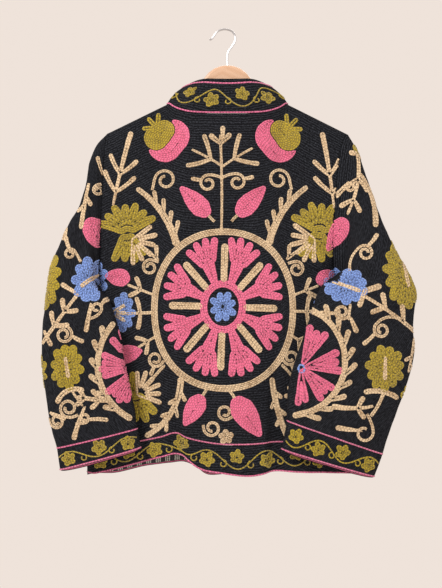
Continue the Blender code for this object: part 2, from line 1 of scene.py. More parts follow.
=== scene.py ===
import logging
import math
from dataclasses import dataclass, field, replace
from enum import Enum
from functools import cache
from typing import ClassVar, Iterable, Sequence

import bmesh
import bpy
import numpy as np
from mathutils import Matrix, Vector
from mathutils.bvhtree import BVHTree


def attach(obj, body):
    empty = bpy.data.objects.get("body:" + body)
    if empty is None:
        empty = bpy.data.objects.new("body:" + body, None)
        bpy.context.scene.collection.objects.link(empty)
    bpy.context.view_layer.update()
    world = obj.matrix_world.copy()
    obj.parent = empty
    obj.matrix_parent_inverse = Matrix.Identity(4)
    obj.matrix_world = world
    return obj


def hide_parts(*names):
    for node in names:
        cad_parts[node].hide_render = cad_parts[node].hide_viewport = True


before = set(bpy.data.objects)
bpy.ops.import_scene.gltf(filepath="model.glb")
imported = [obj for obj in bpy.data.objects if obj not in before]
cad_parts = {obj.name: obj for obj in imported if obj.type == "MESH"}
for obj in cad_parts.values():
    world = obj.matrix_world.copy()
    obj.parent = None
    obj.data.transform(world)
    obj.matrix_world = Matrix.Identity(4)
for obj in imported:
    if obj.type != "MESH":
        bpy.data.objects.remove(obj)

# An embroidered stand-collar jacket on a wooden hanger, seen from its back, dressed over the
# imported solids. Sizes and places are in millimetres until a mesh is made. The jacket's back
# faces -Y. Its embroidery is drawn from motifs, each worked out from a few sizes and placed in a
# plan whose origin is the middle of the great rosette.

MM = 0.001
CLOTH = 1.7
SEAM_GAP = 0.3
SHIFT = np.array([8.5, 0.0, -8.5])
WEAVE_STEP = 4.0
ROSETTE = (1.0, -479.0)
PLAN_Y = -400.0
EDGE_Y = -30.0
ROW = 3.3
LINE_ROW = 2.6
SEAM_ROW = 2.8
SEAM_STEP = 2.4
FULL_STEP = 2.6
LOW_STEP = 4.0
PLAN_STEP = 4.4
SHORTEST_RING = 3.0
LONGEST_JUMP = 14
PROBE = 1.5
SQUARENESS = 2.6
# Length, height and count of the waves of the cloth's small unevenness
WAVES = ((95.0, 0.75, 5), (38.0, 0.34, 6), (16.0, 0.13, 6))

Point = Pair = tuple[float, float]
Array = np.ndarray
Piece = bpy.types.Object
Material = bpy.types.Material

log = logging.getLogger("jacket")


class Half(Enum):
    """The half of the jacket in front of or behind the wearer."""

    BACK = -1
    FRONT = 1


class Side(Enum):
    """A side of the jacket, as it shows from the back."""

    LEFT = -1
    RIGHT = 1

    @property
    def word(self) -> str:
        """The side's name in lower case."""
        return self.name.lower()


class Thread(Enum):
    """The colours of embroidery thread."""

    PINK = "pink"
    SAND = "sand"
    OLIVE = "olive"
    BLUE = "blue"
    ROSE = "rose"


# Forms, as in the part's source


def hermite(keys: Array, values: Array, at: Array) -> Array:
    """A smooth curve through values.

    Args:
        keys: Rising places.
        values: The value, or the row of values, at each of them.
        at: The places where the curve is read.

    Returns:
        The value or row at each of those.
    """
    slopes = np.gradient(values, keys, axis=0)
    i = np.clip(np.searchsorted(keys, at, side="right") - 1, 0, len(keys) - 2)
    spread = (...,) + (None,) * (values.ndim - 1)
    width = (keys[i + 1] - keys[i])[spread]
    s = (at - keys[i])[spread] / width
    return (
        (2 * s**3 - 3 * s**2 + 1) * values[i]
        + (s**3 - 2 * s**2 + s) * width * slopes[i]
        + (3 * s**2 - 2 * s**3) * values[i + 1]
        + (s**3 - s**2) * width * slopes[i + 1]
    )


def table_value(rows: Sequence[Sequence[float]], column: int, at: Array) -> Array:
    """A column of a table as a smooth function of its first column.

    Args:
        rows: The table.
        column: The column's number.
        at: Values of the first column.

    Returns:
        The column's values there.
    """
    keys = np.array([row[0] for row in rows], float)
    values = np.array([row[column] for row in rows], float)
    if keys[0] > keys[-1]:
        keys, values = keys[::-1], values[::-1]
    return hermite(keys, values, np.clip(np.asarray(at, float), keys[0], keys[-1]))


def smooth_step(share: Array | float) -> Array:
    """0 to 1, flat at both ends."""
    share = np.clip(share, 0.0, 1.0)
    return share * share * (3 - 2 * share)


def flat_round(turn: Array, power: float = 2 / SQUARENESS) -> tuple[Array, Array]:
    """The two sides of a flattened round section at an angle, each from -1 to 1."""
    return tuple(np.sign(side) * np.abs(side) ** power for side in (np.cos(turn), np.sin(turn)))


def unit(vectors: Array) -> Array:
    """Vectors of length 1."""
    return vectors / np.maximum(np.linalg.norm(vectors, axis=-1, keepdims=True), 1e-9)


def run_of(points: Array) -> Array:
    """How far each point of a line is from its start."""
    return np.concatenate([[0], np.cumsum(np.linalg.norm(np.diff(points, axis=0), axis=1))])


def read(line: Array, along: Array, at: Array | float) -> Array:
    """Places of a flat line, by how far along it they are."""
    return np.stack([np.interp(at, along, line[:, c]) for c in (0, 1)], -1)


def even_values(points: Array, values: Array, step: float) -> Array:
    """Values that go with a line's points, read at even steps along it.

    Args:
        points: The line's points.
        values: A value for each of them.
        step: The longest step.

    Returns:
        The values, from the line's start to its end.
    """
    along = run_of(points)
    count = max(int(math.ceil(along[-1] / step)), 2)
    return np.interp(np.linspace(0, along[-1], count + 1), along, values)


def smooth_line(points: Array, step: float, closed: bool = False) -> Array:
    """A curve through points, with points about a step apart.

    Args:
        points: The points, one row each.
        step: The distance between the new points.
        closed: Whether the curve runs back to its start.

    Returns:
        The new points. A closed curve doesn't repeat its first one.
    """
    points = np.asarray(points, float)
    if len(points) < 3 and not closed:
        length = np.linalg.norm(points[-1, :2] - points[0, :2])
        count = max(int(round(length / step)), 1)
        share = np.linspace(0, 1, count + 1)[:, None]
        return points[0] * (1 - share) + points[-1] * share
    if closed:
        ends = np.vstack([points[-1:], points, points[:2]])
    else:
        ends = np.vstack([2 * points[:1] - points[1:2], points, 2 * points[-1:] - points[-2:-1]])
    pieces = []
    for a, b, c, d in zip(ends[:-3], ends[1:-2], ends[2:-1], ends[3:]):
        count = max(int(round(np.linalg.norm(c[:2] - b[:2]) / step)), 1)
        s = np.linspace(0, 1, count, endpoint=False)[:, None]
        pieces.append(
            0.5 * (2 * b + (c - a) * s + (2 * a - 5 * b + 4 * c - d) * s**2 + (3 * b - a - 3 * c + d) * s**3)
        )
    if not closed:
        pieces.append(points[-1:])
    return np.vstack(pieces)


@dataclass(frozen=True)
class Armhole:
    """The ring that joins a sleeve to the body.

    Tip and underarm are given as X and Z. The leans are how far each half stands to the side.
    """

    tip: Point
    underarm: Point
    back_lean: float
    front_lean: float
    depth: float = 15.0

    def lean(self, turn: Array, half: Half) -> Array:
        """How far a half stands to the side of the line from tip to underarm."""
        return (self.back_lean if half is Half.BACK else self.front_lean) * flat_round(turn)[1]

    def edge(self, turn: Array, half: Half) -> Array:
        """Points of a half of the ring, from 0 at the shoulder's tip to pi at the underarm."""
        along, across = flat_round(turn)
        x = (self.tip[0] + self.underarm[0]) / 2 + along * (self.tip[0] - self.underarm[0]) / 2
        z = (self.tip[1] + self.underarm[1]) / 2 + along * (self.tip[1] - self.underarm[1]) / 2
        return np.stack([x + self.lean(turn, half), half.value * self.depth * across, z], axis=-1)


ARMHOLES = {
    Side.LEFT: Armhole((-207.0, -170.5), (-218.0, -430.0), -4.0, 0.0),
    Side.RIGHT: Armhole((209.0, -172.5), (191.5, -420.0), -16.0, 6.0),
}

# Turn round the neck, X, Y and Z of the neck's seam, X, Y and Z of the collar's top edge
COLLAR = [
    (0, 0, -26, -141, 0, -25, -81.5), (20, 36, -25, -140.5, 20, -24, -81),
    (40, 67.5, -21, -137.5, 36, -20.5, -80), (55, 86, -15.5, -131.5, 46.5, -14.5, -80),
    (70, 97.5, -9.3, -125, 56, -8.5, -81.5), (80, 102.5, -5.2, -121.3, 65, -4.5, -84.5),
    (90, 106, 0, -121, 72, 0, -88.5), (100, 103.5, 5.5, -121.5, 71, 5.5, -92),
    (110, 99, 9.4, -128.5, 68, 10.5, -99), (122, 91.5, 12, -143, 61, 14, -109),
    (135, 80, 14.8, -164.5, 52, 17, -123), (148, 63, 17.6, -187, 41, 20, -137),
    (160, 43, 19.8, -201.5, 30, 22, -149), (180, 5, 22, -212, 8, 25, -157),
]


@dataclass(frozen=True)
class Crease:
    """A soft trough in cloth, or a ridge where the depth is below 0.

    Start and end are X and Z, and the bend is how far its middle stands to the side.
    """

    start: Point
    end: Point
    width: float
    depth: float
    bend: float = 0.0

    def lift(self, x: Array, z: Array) -> Array:
        """How far it lifts the cloth at places of X and Z.

        Args:
            x: X of each place.
            z: Height of each place.

        Returns:
            The lift at each of them, in millimetres.
        """
        dx, dz = self.end[0] - self.start[0], self.end[1] - self.start[1]
        length = math.hypot(dx, dz)
        along = ((x - self.start[0]) * dx + (z - self.start[1]) * dz) / length**2
        aside = ((z - self.start[1]) * dx - (x - self.start[0]) * dz) / length
        share = np.clip(along, 0, 1)
        aside = aside - self.bend * 4 * share * (1 - share) - 2.0 * np.sin(9 * share + length)
        fade = smooth_step(np.minimum(along + 0.12, 1.12 - along) / 0.34)
        width = self.width * (0.75 + 0.5 * share)
        return -self.depth * fade * np.exp(-((aside / width) ** 2)) * (1 + 0.25 * np.sin(7 * share + 2))


def soft_noise(x: Array, z: Array, seed: int) -> Array:
    """The small unevenness of hanging cloth, in millimetres."""
    rng = np.random.default_rng(seed)
    lift = np.zeros_like(x)
    for wave, height, count in WAVES:
        for _ in range(count):
            angle, phase = rng.uniform(0, math.pi), rng.uniform(0, 2 * math.pi)
            scale = 2 * math.pi / (wave * rng.uniform(0.75, 1.3))
            lift += height * np.sin(scale * (x * math.cos(angle) + z * math.sin(angle)) + phase) / 1.6
    return lift


def outward_normals(points: Array, closed: bool, outward: Array) -> Array:
    """Outward directions of a grid of points.

    Args:
        points: The grid, whose rows are rings where closed is true.
        closed: Whether they are.
        outward: Roughly which way is outwards.

    Returns:
        Unit normals.
    """
    if closed:
        across = np.roll(points, -1, axis=1) - np.roll(points, 1, axis=1)
    else:
        across = np.gradient(points, axis=1)
    normals = unit(np.cross(across, np.gradient(points, axis=0)))
    return -normals if np.sum(normals * outward) < 0 else normals


def distance_along(points: Array, axis: int) -> Array:
    """How far each point of a grid is from the start of its row or column."""
    steps = np.linalg.norm(np.diff(points, axis=axis), axis=2)
    start = np.zeros_like(np.take(steps, [0], axis=axis))
    return np.concatenate([start, np.cumsum(steps, axis=axis)], axis=axis)


@dataclass
class Lay:
    """A grid of cloth: the flat places, the hanging ones and the outward directions of its points."""

    flat: Array
    points: Array
    normals: Array
    faces: Array = field(init=False)
    flat_tree: BVHTree = field(init=False)
    solid_tree: BVHTree = field(init=False)

    def __post_init__(self) -> None:
        """Makes the two search trees."""
        rows, columns = self.flat.shape[:2]
        a = (np.arange(rows - 1)[:, None] * columns + np.arange(columns - 1)).ravel()
        b, c, d = a + 1, a + columns + 1, a + columns
        self.faces = np.vstack([np.stack([a, b, c], 1), np.stack([a, c, d], 1)])
        self.flat = self.flat.reshape(-1, 2)
        self.points = self.points.reshape(-1, 3)
        self.normals = self.normals.reshape(-1, 3)
        faces = self.faces.tolist()
        level = np.column_stack([self.flat, np.zeros(len(self.flat))])
        self.flat_tree = BVHTree.FromPolygons(level.tolist(), faces)
        self.solid_tree = BVHTree.FromPolygons(self.points.tolist(), faces)

    def shares(self, corners: Array, places: Array) -> Array:
        """Each corner's share of a place in a triangle.

        Args:
            corners: Three corners for each place.
            places: The places.

        Returns:
            Three shares for each place.
        """
        e1, e2 = corners[:, 1] - corners[:, 0], corners[:, 2] - corners[:, 0]
        w = places - corners[:, 0]
        d11, d12, d22 = (e1 * e1).sum(1), (e1 * e2).sum(1), (e2 * e2).sum(1)
        p1, p2 = (w * e1).sum(1), (w * e2).sum(1)
        area = np.maximum(d11 * d22 - d12 * d12, 1e-12)
        s = np.clip((d22 * p1 - d12 * p2) / area, 0, 1)
        t = np.clip((d11 * p2 - d12 * p1) / area, 0, 1)
        return np.stack([1 - s - t, s, t], 1)[:, :, None]

    def hang(self, places: Array) -> tuple[Array, Array, Array]:
        """Where places of the flat cloth hang.

        Args:
            places: Flat places.

        Returns:
            Points, normals, and which of the places are on the cloth.
        """
        down = Vector((0, 0, -1))
        found = [self.flat_tree.ray_cast(Vector((x, y, 5.0)), down)[2] for x, y in places]
        on = np.array([number is not None for number in found])
        faces = self.faces[np.array([number or 0 for number in found], int)]
        shares = self.shares(self.flat[faces], places)
        return (self.points[faces] * shares).sum(1), unit((self.normals[faces] * shares).sum(1)), on

    def from_plan(self, places: Array) -> Array:
        """Flat places under places of the plan, which is seen square on.

        Args:
            places: Places right of and above the rosette's middle.

        Returns:
            Flat places. One beside the cloth is carried on from its edge.
        """
        ahead = Vector((0, 1, 0))
        result = np.zeros((len(places), 2))
        for i, (across, up) in enumerate(places):
            target = Vector((ROSETTE[0] + across, PLAN_Y, ROSETTE[1] + up))
            hit, _, number, _ = self.solid_tree.ray_cast(target, ahead)
            spare = np.zeros(2)
            if hit is None:
                hit, _, number, _ = self.solid_tree.find_nearest(Vector((target.x, EDGE_Y, target.z)))
                spare = np.array([target.x - hit.x, target.z - hit.z])
            face = self.faces[number][None]
            shares = self.shares(self.points[face], np.array(hit)[None])
            result[i] = (self.flat[face] * shares).sum(1)[0] + spare
        return result


@dataclass
class BodyForm:
    """The grid of the back or of both fronts.

    The hem is X, height of the band's seam and height of the hem, across the cloth.
    """

    half: Half
    hem: list[tuple[float, float, float]]
    creases: list[Crease]
    neck_half: float = 106.0
    neck_side_z: float = -121.0
    wrap: float = 9.5
    settle_drop: float = 260.0
    neck_share: float = 0.55
    lean_spread: int = 4
    fold_step: float = 15.0
    fold_foot: float = -752.0
    fold_lean: float = 0.55
    fold_soft: float = 2.6
    band_rows: int = 12
    skirt_rows: int = 72
    # Height, half width left, half width right, depth of the back, depth of the front
    sections: tuple[tuple[float, ...], ...] = (
        (-120, 218, 191.5, 12, 11),
        (-250, 218, 191.5, 20, 15),
        (-425, 218, 191.5, 27, 20),
        (-442, 223.5, 195, 27.5, 20.5),
        (-520, 225, 209, 29, 23),
        (-620, 236, 226, 30, 26),
        (-770, 247, 238, 30, 29),
    )
    # X at the hem, X where it starts, height there, which way it opens
    pleats: tuple[tuple[float, float, float, int], ...] = ((-77, -90, -560, 1), (70, 77, -440, -1))

    def neck_turns(self) -> Array:
        """Turns round the neck from the middle to the shoulder, or from it to the front edge."""
        ends = (0.0, 90.0) if self.half is Half.BACK else (180.0, 90.0)
        turns = np.linspace(*ends, 400)
        seam = np.stack([table_value(COLLAR, c, turns) for c in (1, 2, 3)], 1)
        return even_values(seam, turns, WEAVE_STEP)

    def columns(self) -> tuple[Array, Array]:
        """X at the top of each column and its turn round the neck, which is nan beside the neck.

        Returns:
            An X and a turn for each column.
        """
        turns = self.neck_turns()
        neck = table_value(COLLAR, 1, turns)
        if self.half is Half.FRONT:
            neck[0] = 0.0
        share = np.sin(np.pi / 2 * np.linspace(0, 1, 28)[1:]) ** 0.9
        right = self.neck_half + (ARMHOLES[Side.RIGHT].tip[0] - self.neck_half) * share
        left = -self.neck_half + (ARMHOLES[Side.LEFT].tip[0] + self.neck_half) * share
        x = np.concatenate([left[::-1], -neck[:0:-1], neck, right])
        beside = np.full(len(share), np.nan)
        return x, np.concatenate([beside, turns[:0:-1], turns, beside])

    def pleat_depth(self, x: Array, z: Array) -> Array:
        """How far the pleats bring the middle of the back forward.

        Args:
            x: X of each point.
            z: Height of each point.

        Returns:
            The depth at each point.
        """
        depth = np.full_like(x, self.fold_step)
        for hem_x, start_x, start_z, opens in self.pleats:
            down = np.clip((start_z - z) / (start_z - self.fold_foot), 0, 1)
            line = start_x + (hem_x - start_x) * down
            beside = 1 / (1 + np.exp(np.clip(-opens * (x - line) / self.fold_soft, -60, 60)))
            depth = np.where(start_x * x > 0, depth * beside * smooth_step(down) ** self.fold_lean, depth)
        middle = smooth_step((np.abs(x) - 5) / 30)
        start_z = self.pleats[1][2]
        foot = smooth_step((start_z - z) / (start_z - self.fold_foot))
        return depth * middle + self.fold_step * foot**self.fold_lean * (1 - middle)

    def edges(self, turns: Array) -> dict[Side, Array]:
        """The two side edges from the shoulder's tip to the band's seam.

        Args:
            turns: Turns down an armhole.

        Returns:
            The points of each edge.
        """
        made = {}
        for side, hole in ARMHOLES.items():
            upper = hole.edge(turns, self.half)
            share = np.linspace(0, 1, self.skirt_rows + 1)[1:]
            z = upper[-1, 2] + (self.hem[0][1] - upper[-1, 2]) * share
            x = side.value * table_value(self.sections, 1 if side is Side.LEFT else 2, z)
            made[side] = np.vstack([upper, np.stack([x, np.zeros_like(x), z], 1)])
        return made

    def armhole_turns(self) -> Array:
        """Turns down an armhole, a weave step apart."""
        turns = np.linspace(0, np.pi, 600)
        ring = ARMHOLES[Side.LEFT].edge(turns, self.half)
        return even_values(ring, turns, WEAVE_STEP * 0.9)

    def grid(self) -> tuple[Array, int]:
        """The hanging cloth's points and the number of the row on the band's seam.

        Returns:
            A grid of points and the row's number.
        """
        turns = self.armhole_turns()
        edges = self.edges(turns)
        left, right = edges[Side.LEFT], edges[Side.RIGHT]
        seam_row = len(left) - 1
        row_of = np.minimum(np.arange(seam_row + self.band_rows + 1), seam_row)
        turn_of = np.where(row_of < len(turns), turns[np.minimum(row_of, len(turns) - 1)], np.pi)
        top_x, neck_turn = self.columns()
        (left_tip, left_z), (right_tip, right_z) = (hole.tip for hole in ARMHOLES.values())
        across = 2 * (top_x - left_tip) / (right_tip - left_tip) - 1
        s = (across + 1) / 2
        known = np.nan_to_num(neck_turn)
        tip = np.where(top_x < 0, left_z, right_z)
        reach = np.where(top_x < 0, -left_tip, right_tip) - self.neck_half
        slope = self.neck_side_z + (np.abs(top_x) - self.neck_half) / reach * (tip - self.neck_side_z)
        at_neck = ~np.isnan(neck_turn)
        top = np.where(at_neck, table_value(COLLAR, 3, known), slope)
        stand = np.where(at_neck, np.abs(table_value(COLLAR, 2, known)), 0.0)
        lean = [ARMHOLES[side].lean(turn_of, self.half)[:, None] for side in Side]
        straight = left[row_of, 0][:, None] - lean[0], right[row_of, 0][:, None] - lean[1]
        x = straight[0] + (straight[1] - straight[0]) * s
        x = x + np.where(across > 0, lean[1], lean[0]) * across**self.lean_spread
        down = [(e[0, 2] - e[row_of, 2]) / (e[0, 2] - e[-1, 2]) for e in (left, right)]
        seam_z = table_value(self.hem, 1, left[-1, 0] + (right[-1, 0] - left[-1, 0]) * s)
        z = top + (seam_z - top) * (down[0][:, None] * (1 - s) + down[1][:, None] * s)
        below = np.maximum(np.arange(len(row_of)) - seam_row, 0)[:, None] / self.band_rows
        z = z + (table_value(self.hem, 2, x) - seam_z) * below
        edge = np.abs(left[row_of, 1])[:, None] * (1 - s) + np.abs(right[row_of, 1])[:, None] * s
        y = self.half.value * self.depth(x, z, across, top, stand, edge)
        return np.stack([x, y, z], -1), seam_row

    def depth(self, x: Array, z: Array, across: Array, top: Array, stand: Array, edge: Array) -> Array:
        """Distance of the cloth from the middle plane.

        Args:
            x: X of each point.
            z: Height of each point.
            across: Place of each column, from -1 to 1.
            top: Height of each column's top.
            stand: How far each top stands from the hanger.
            edge: Depth at the side of each row.

        Returns:
            The distance at each point.
        """
        drop = np.maximum(top - z, 0.0)
        over = 1 - np.sqrt(1 - np.minimum(stand / self.wrap, 1.0) ** 2)
        wrap = self.wrap * np.sqrt(1 - (1 - np.minimum(drop / self.wrap + over, 1.0)) ** 2)
        full = table_value(self.sections, 3 if self.half is Half.BACK else 4, z)
        if self.half is Half.BACK:
            full = full + self.pleat_depth(x, z)
        settled = smooth_step(drop / self.settle_drop)
        beside = smooth_step((np.abs(across) - self.neck_share) / (1 - self.neck_share))
        hung = np.maximum(stand, wrap) * (1 - beside) + edge * beside
        roundness = np.sqrt(np.maximum(1 - across**4, 0.0))
        return hung * (1 - settled) + (edge + (full - edge) * roundness) * settled

    def hang(self) -> tuple[Array, Array, int]:
        """The creased cloth.

        Returns:
            Its points, its normals and the row on the band's seam.
        """
        points, seam_row = self.grid()
        outward = np.array([0.0, self.half.value, 0.0])
        normals = outward_normals(points, False, outward)
        gap = SEAM_GAP / 2
        neck_turn = self.columns()[1]
        points[0, np.isnan(neck_turn), 1] += self.half.value * gap
        points[0, ~np.isnan(neck_turn), 2] -= gap
        points[:, 0, 0] += gap
        points[:, -1, 0] -= gap
        lower = points[:, 0, 2] < ARMHOLES[Side.LEFT].underarm[1]
        points[lower, 0, 1] += self.half.value * gap
        points[lower, -1, 1] += self.half.value * gap
        points = points + SHIFT
        lift = soft_noise(points[..., 0], points[..., 2], 11 + self.half.value)
        for crease in self.creases:
            lift = lift + crease.lift(points[..., 0], points[..., 2])
        wide, tall = distance_along(points, 1), distance_along(points, 0)
        from_side = np.minimum(wide, wide[:, -1:] - wide)
        fade = smooth_step(from_side / 26) * smooth_step(tall / 34)
        points = points + normals * (lift * fade)[..., None]
        return points, outward_normals(points, False, outward), seam_row


BACK_HEM = [
    (-228, -714, -758), (-196, -707, -750), (-150, -701, -737), (-112, -693, -727),
    (-88, -687, -722), (-72, -692, -728), (-50, -698, -743), (-8, -704, -752),
    (40, -704, -757), (84, -702, -750.5), (120, -702, -753), (180, -706, -755),
    (228, -714, -758),
]
FRONT_HEM = [
    (-228, -714, -762), (-200, -714, -763), (-150, -705, -753), (-100, -698, -746),
    (-76, -697, -744), (-58, -704, -752), (-40, -715, -764), (-4, -718, -767),
    (30, -708, -755), (120, -704, -751), (180, -708, -755), (228, -714, -762),
]

# X and Z of a sleeve's outer edge, X and Z of its inner edge, Y of its middle, half its depth
SLEEVES = {
    Side.LEFT: [
        (-226, -191.5, -221, -431.5, -3, 21), (-237.5, -221.5, -223, -435, -6, 23),
        (-243, -258.5, -223.5, -438.5, -10, 23), (-252.5, -294.5, -221.5, -441.5, -15, 22.5),
        (-270.5, -327.5, -218.5, -443.5, -21, 22), (-286.5, -367, -211.5, -447.5, -28, 21),
        (-300, -405, -204.5, -453, -35, 20), (-305, -446, -197.5, -465, -41, 19),
        (-310, -489.5, -189, -489.5, -46, 18), (-311.5, -535, -180, -523, -49, 17.5),
        (-310.5, -576, -172.5, -562.5, -51, 17), (-303.5, -622.5, -164.5, -602.5, -52, 16),
        (-295.5, -669.5, -156, -640, -52.5, 15), (-285.5, -708, -150.5, -675.5, -53, 14),
        (-280, -743.5, -145, -706.5, -53, 14),
    ],
    Side.RIGHT: [
        (222.5, -196.5, 194.5, -421, -3, 21), (232.5, -226.5, 195.5, -423.5, -7, 23),
        (243, -260, 193.5, -425.5, -13, 23), (256.5, -302, 186, -427, -22, 22.5),
        (270.5, -343, 177, -427.5, -30, 22), (287.5, -381.5, 167, -429, -37, 21),
        (306.5, -416.5, 158.5, -434, -42, 20), (316.5, -449, 151.5, -446, -45.5, 19),
        (313.5, -479.5, 144, -467, -48, 18), (311, -510, 136, -494.5, -49.5, 17.5),
        (312.5, -541.5, 125, -527, -51, 17), (307.5, -575, 111, -565.5, -51.5, 16.5),
        (296.5, -609.5, 102.5, -603.5, -52, 16), (281.5, -649, 100, -631, -52.5, 15),
        (259, -718, 99.5, -662.5, -53, 14), (245, -755, 90.5, -709, -53, 14),
    ],
}


@dataclass
class SleeveForm:
    """The grid of a sleeve with its cuff.

    Each half of the ring has half of the points round it. The side that shows hangs higher at the cuff.
    """

    side: Side
    creases: list[Crease]
    around: int = 112
    cuff_tilt: float = 8.0
    cuff_rows: int = 9

    def turns(self) -> Array:
        """Turns round the sleeve, evenly along its section.

        Returns:
            An angle for each point of a ring.
        """
        half = np.linspace(0, np.pi, 800)
        along, across = flat_round(half)
        section = np.stack([70 * along, 19 * across], 1)
        length = run_of(section)
        places = np.linspace(0, length[-1], self.around // 2 + 1)
        upper = np.interp(places, length, half)
        return np.concatenate([upper, 2 * np.pi - upper[-2:0:-1]])

    def grid(self) -> tuple[Array, int]:
        """The sleeve's rings and the number of the ring on the cuff's seam.

        Returns:
            A grid of points and the row's number.
        """
        turns = self.turns()
        hole = ARMHOLES[self.side]
        back = hole.edge(turns, Half.BACK)
        front = hole.edge(2 * np.pi - turns, Half.FRONT)
        rings = [np.where((turns <= np.pi)[:, None], back, front)]
        rows = SLEEVES[self.side]
        along, across = flat_round(turns)
        for number, (out_x, out_z, in_x, in_z, middle, depth) in enumerate(rows):
            tilt = self.cuff_tilt * (1 - min((len(rows) - 1 - number) / 3, 1.0))
            x = (out_x + in_x) / 2 + along * (out_x - in_x) / 2
            z = (out_z + in_z) / 2 + along * (out_z - in_z) / 2
            rings.append(np.stack([x, middle - depth * across, z + tilt * np.minimum(across, 0.0)], 1))
        coarse = np.array(rings)
        cuff_start = len(coarse) - 2
        sleeve = coarse[: cuff_start + 1]
        flat = sleeve.reshape(len(sleeve), -1)
        spread = np.linalg.norm(np.diff(sleeve, axis=0), axis=2).max(axis=1)
        key = np.concatenate([[0], np.cumsum(spread)])
        at = np.linspace(0, key[-1], int(key[-1] / WEAVE_STEP) + 1)
        fine = hermite(key, flat, at).reshape(len(at), -1, 3)
        share = np.linspace(0, 1, self.cuff_rows + 1)[1:, None, None]
        cuff = coarse[-2] * (1 - share) + coarse[-1] * share
        return np.vstack([fine, cuff]), len(fine) - 1

    def unrolled(self, rings: Array) -> Array:
        """Flat places of half of each ring.

        Args:
            rings: Its points, from the outer edge to the inner one.

        Returns:
            The places seen square on, pushed outwards by what the depth adds to the cloth's length.
        """
        seen = rings[..., [0, 2]]
        outwards = unit(seen[:, 0] - seen[:, -1])[:, None]
        real, flat = (np.linalg.norm(np.diff(grid, axis=1), axis=2) for grid in (rings, seen))
        spare = real - flat
        pushed = np.cumsum(spare[:, ::-1], axis=1)[:, ::-1, None] * outwards
        return seen + np.concatenate([pushed, np.zeros_like(pushed[:, :1])], axis=1)

    def hang(self) -> tuple[Array, Array, tuple[Array, Array], int]:
        """The creased sleeve.

        Returns:
            Its points, normals, the flat places of its near and far halves and the ring on the cuff's seam.
        """
        points, seam = self.grid()
        points[0, :, 0] += self.side.value * SEAM_GAP / 2
        points = points + SHIFT
        half = self.around // 2
        near = self.unrolled(points[:, : half + 1])
        far = self.unrolled(points[:, np.concatenate([[0], np.arange(self.around - 1, half - 1, -1)])])
        flat = np.concatenate([near, far[:, -2:0:-1]], axis=1)
        normals = outward_normals(points, True, points - points.mean(axis=1, keepdims=True))
        facing = np.sin(self.turns())
        seed = 31 + self.side.value
        seen, hidden = (soft_noise(flat[..., 0], flat[..., 1], number) for number in (seed, seed + 5))
        lift = seen * (0.4 + 0.6 * np.maximum(facing, 0)) + 0.6 * np.maximum(-facing, 0) * hidden
        for crease in self.creases:
            lift = lift + crease.lift(points[..., 0], points[..., 2]) * (0.75 + 0.25 * facing)
        down = distance_along(points, 0)
        points = points + normals * (lift * smooth_step(down / 30))[..., None]
        normals = outward_normals(points, True, points - points.mean(axis=1, keepdims=True))
        return points, normals, (near, far), seam


@dataclass
class CollarForm:
    """The grid of the stand collar."""

    bulge: float = 4.0
    rows: int = 16

    def outward(self, turn: Array, sign: Array) -> Array:
        """The direction of the wall's thickness at the neck's seam."""
        angle = np.radians(turn)
        return unit(np.stack([sign * 0.75 * np.sin(angle), -np.cos(angle), np.full_like(angle, 0.55)], -1))

    def hang(self) -> tuple[Array, Array, Array]:
        """The collar, from its top edge down.

        Returns:
            Its points, its normals and its flat places.
        """
        dense = np.linspace(0, 180, 900)
        seam = np.stack([table_value(COLLAR, c, dense) for c in (1, 2, 3)], 1)
        half = even_values(seam, dense, WEAVE_STEP * 0.8)
        turn = np.concatenate([half[:0:-1], half])
        sign = np.concatenate([-np.ones(len(half) - 1), np.ones(len(half))])
        low = np.stack([table_value(COLLAR, c, turn) for c in (1, 2, 3)], -1)
        high = np.stack([table_value(COLLAR, c, turn) for c in (4, 5, 6)], -1)
        for line in (low, high):
            line[:, 0] *= sign
        low[:, 2] += SEAM_GAP / 2
        outward = self.outward(turn, sign)
        share = np.linspace(0, 1, self.rows + 1)[:, None, None]
        points = high * (1 - share) + low * share + self.bulge * np.sin(np.pi * share) * outward
        points = points + SHIFT
        across = distance_along(points, 1)
        flat_x = (across - across[:, len(half) - 1 : len(half)]).mean(axis=0)
        fall = distance_along(points, 0)
        flat = np.stack([np.broadcast_to(flat_x, fall.shape), -fall], -1)
        lift = 0.35 * soft_noise(flat[..., 0] * 1.6, flat[..., 1], 51)
        fade = np.sin(np.pi * share[..., 0]) ** 0.5
        normals = outward_normals(points, False, outward)
        points = points + normals * (lift * fade)[..., None]
        return points, normals, flat


# Embroidery


@dataclass(frozen=True)
class Strand:
    """A line of the plan with its half width at its start and end."""

    points: tuple[Point, ...]
    start: float
    end: float
    closed: bool = False

    def places(self) -> Array:
        """Points of the smooth line, with the half width as a third number.

        Returns:
            A row of three numbers for each point.
        """
        line = smooth_line(np.array(self.points, float), PLAN_STEP, self.closed)
        if self.closed:
            line = np.vstack([line, line[:1]])
        share = np.linspace(0, 1, len(line))
        return np.column_stack([line, self.start + (self.end - self.start) * share])


@dataclass
class Patch:
    """A filled shape, worked in rows that follow its outline."""

    thread: Thread
    strands: list[Strand]
    cuts: list[Strand] = field(default_factory=list)
    lift: float = 0.0


@dataclass
class Trail:
    """A line of one or more rows side by side."""

    thread: Thread
    points: Sequence[Point]
    rows: int = 2
    closed: bool = False
    width: float = LINE_ROW


@dataclass
class Plan:
    """The shapes and lines of one panel's embroidery.

    Its places are in millimetres to the right of the rosette's middle and above it.
    """

    patches: list[Patch] = field(default_factory=list)
    trails: list[Trail] = field(default_factory=list)


def onward(start: Point, length: float, heading: float) -> Point:
    """The place at a distance from a start, with 0 degrees to the right and 90 up."""
    angle = math.radians(heading)
    return (start[0] + length * math.cos(angle), start[1] + length * math.sin(angle))


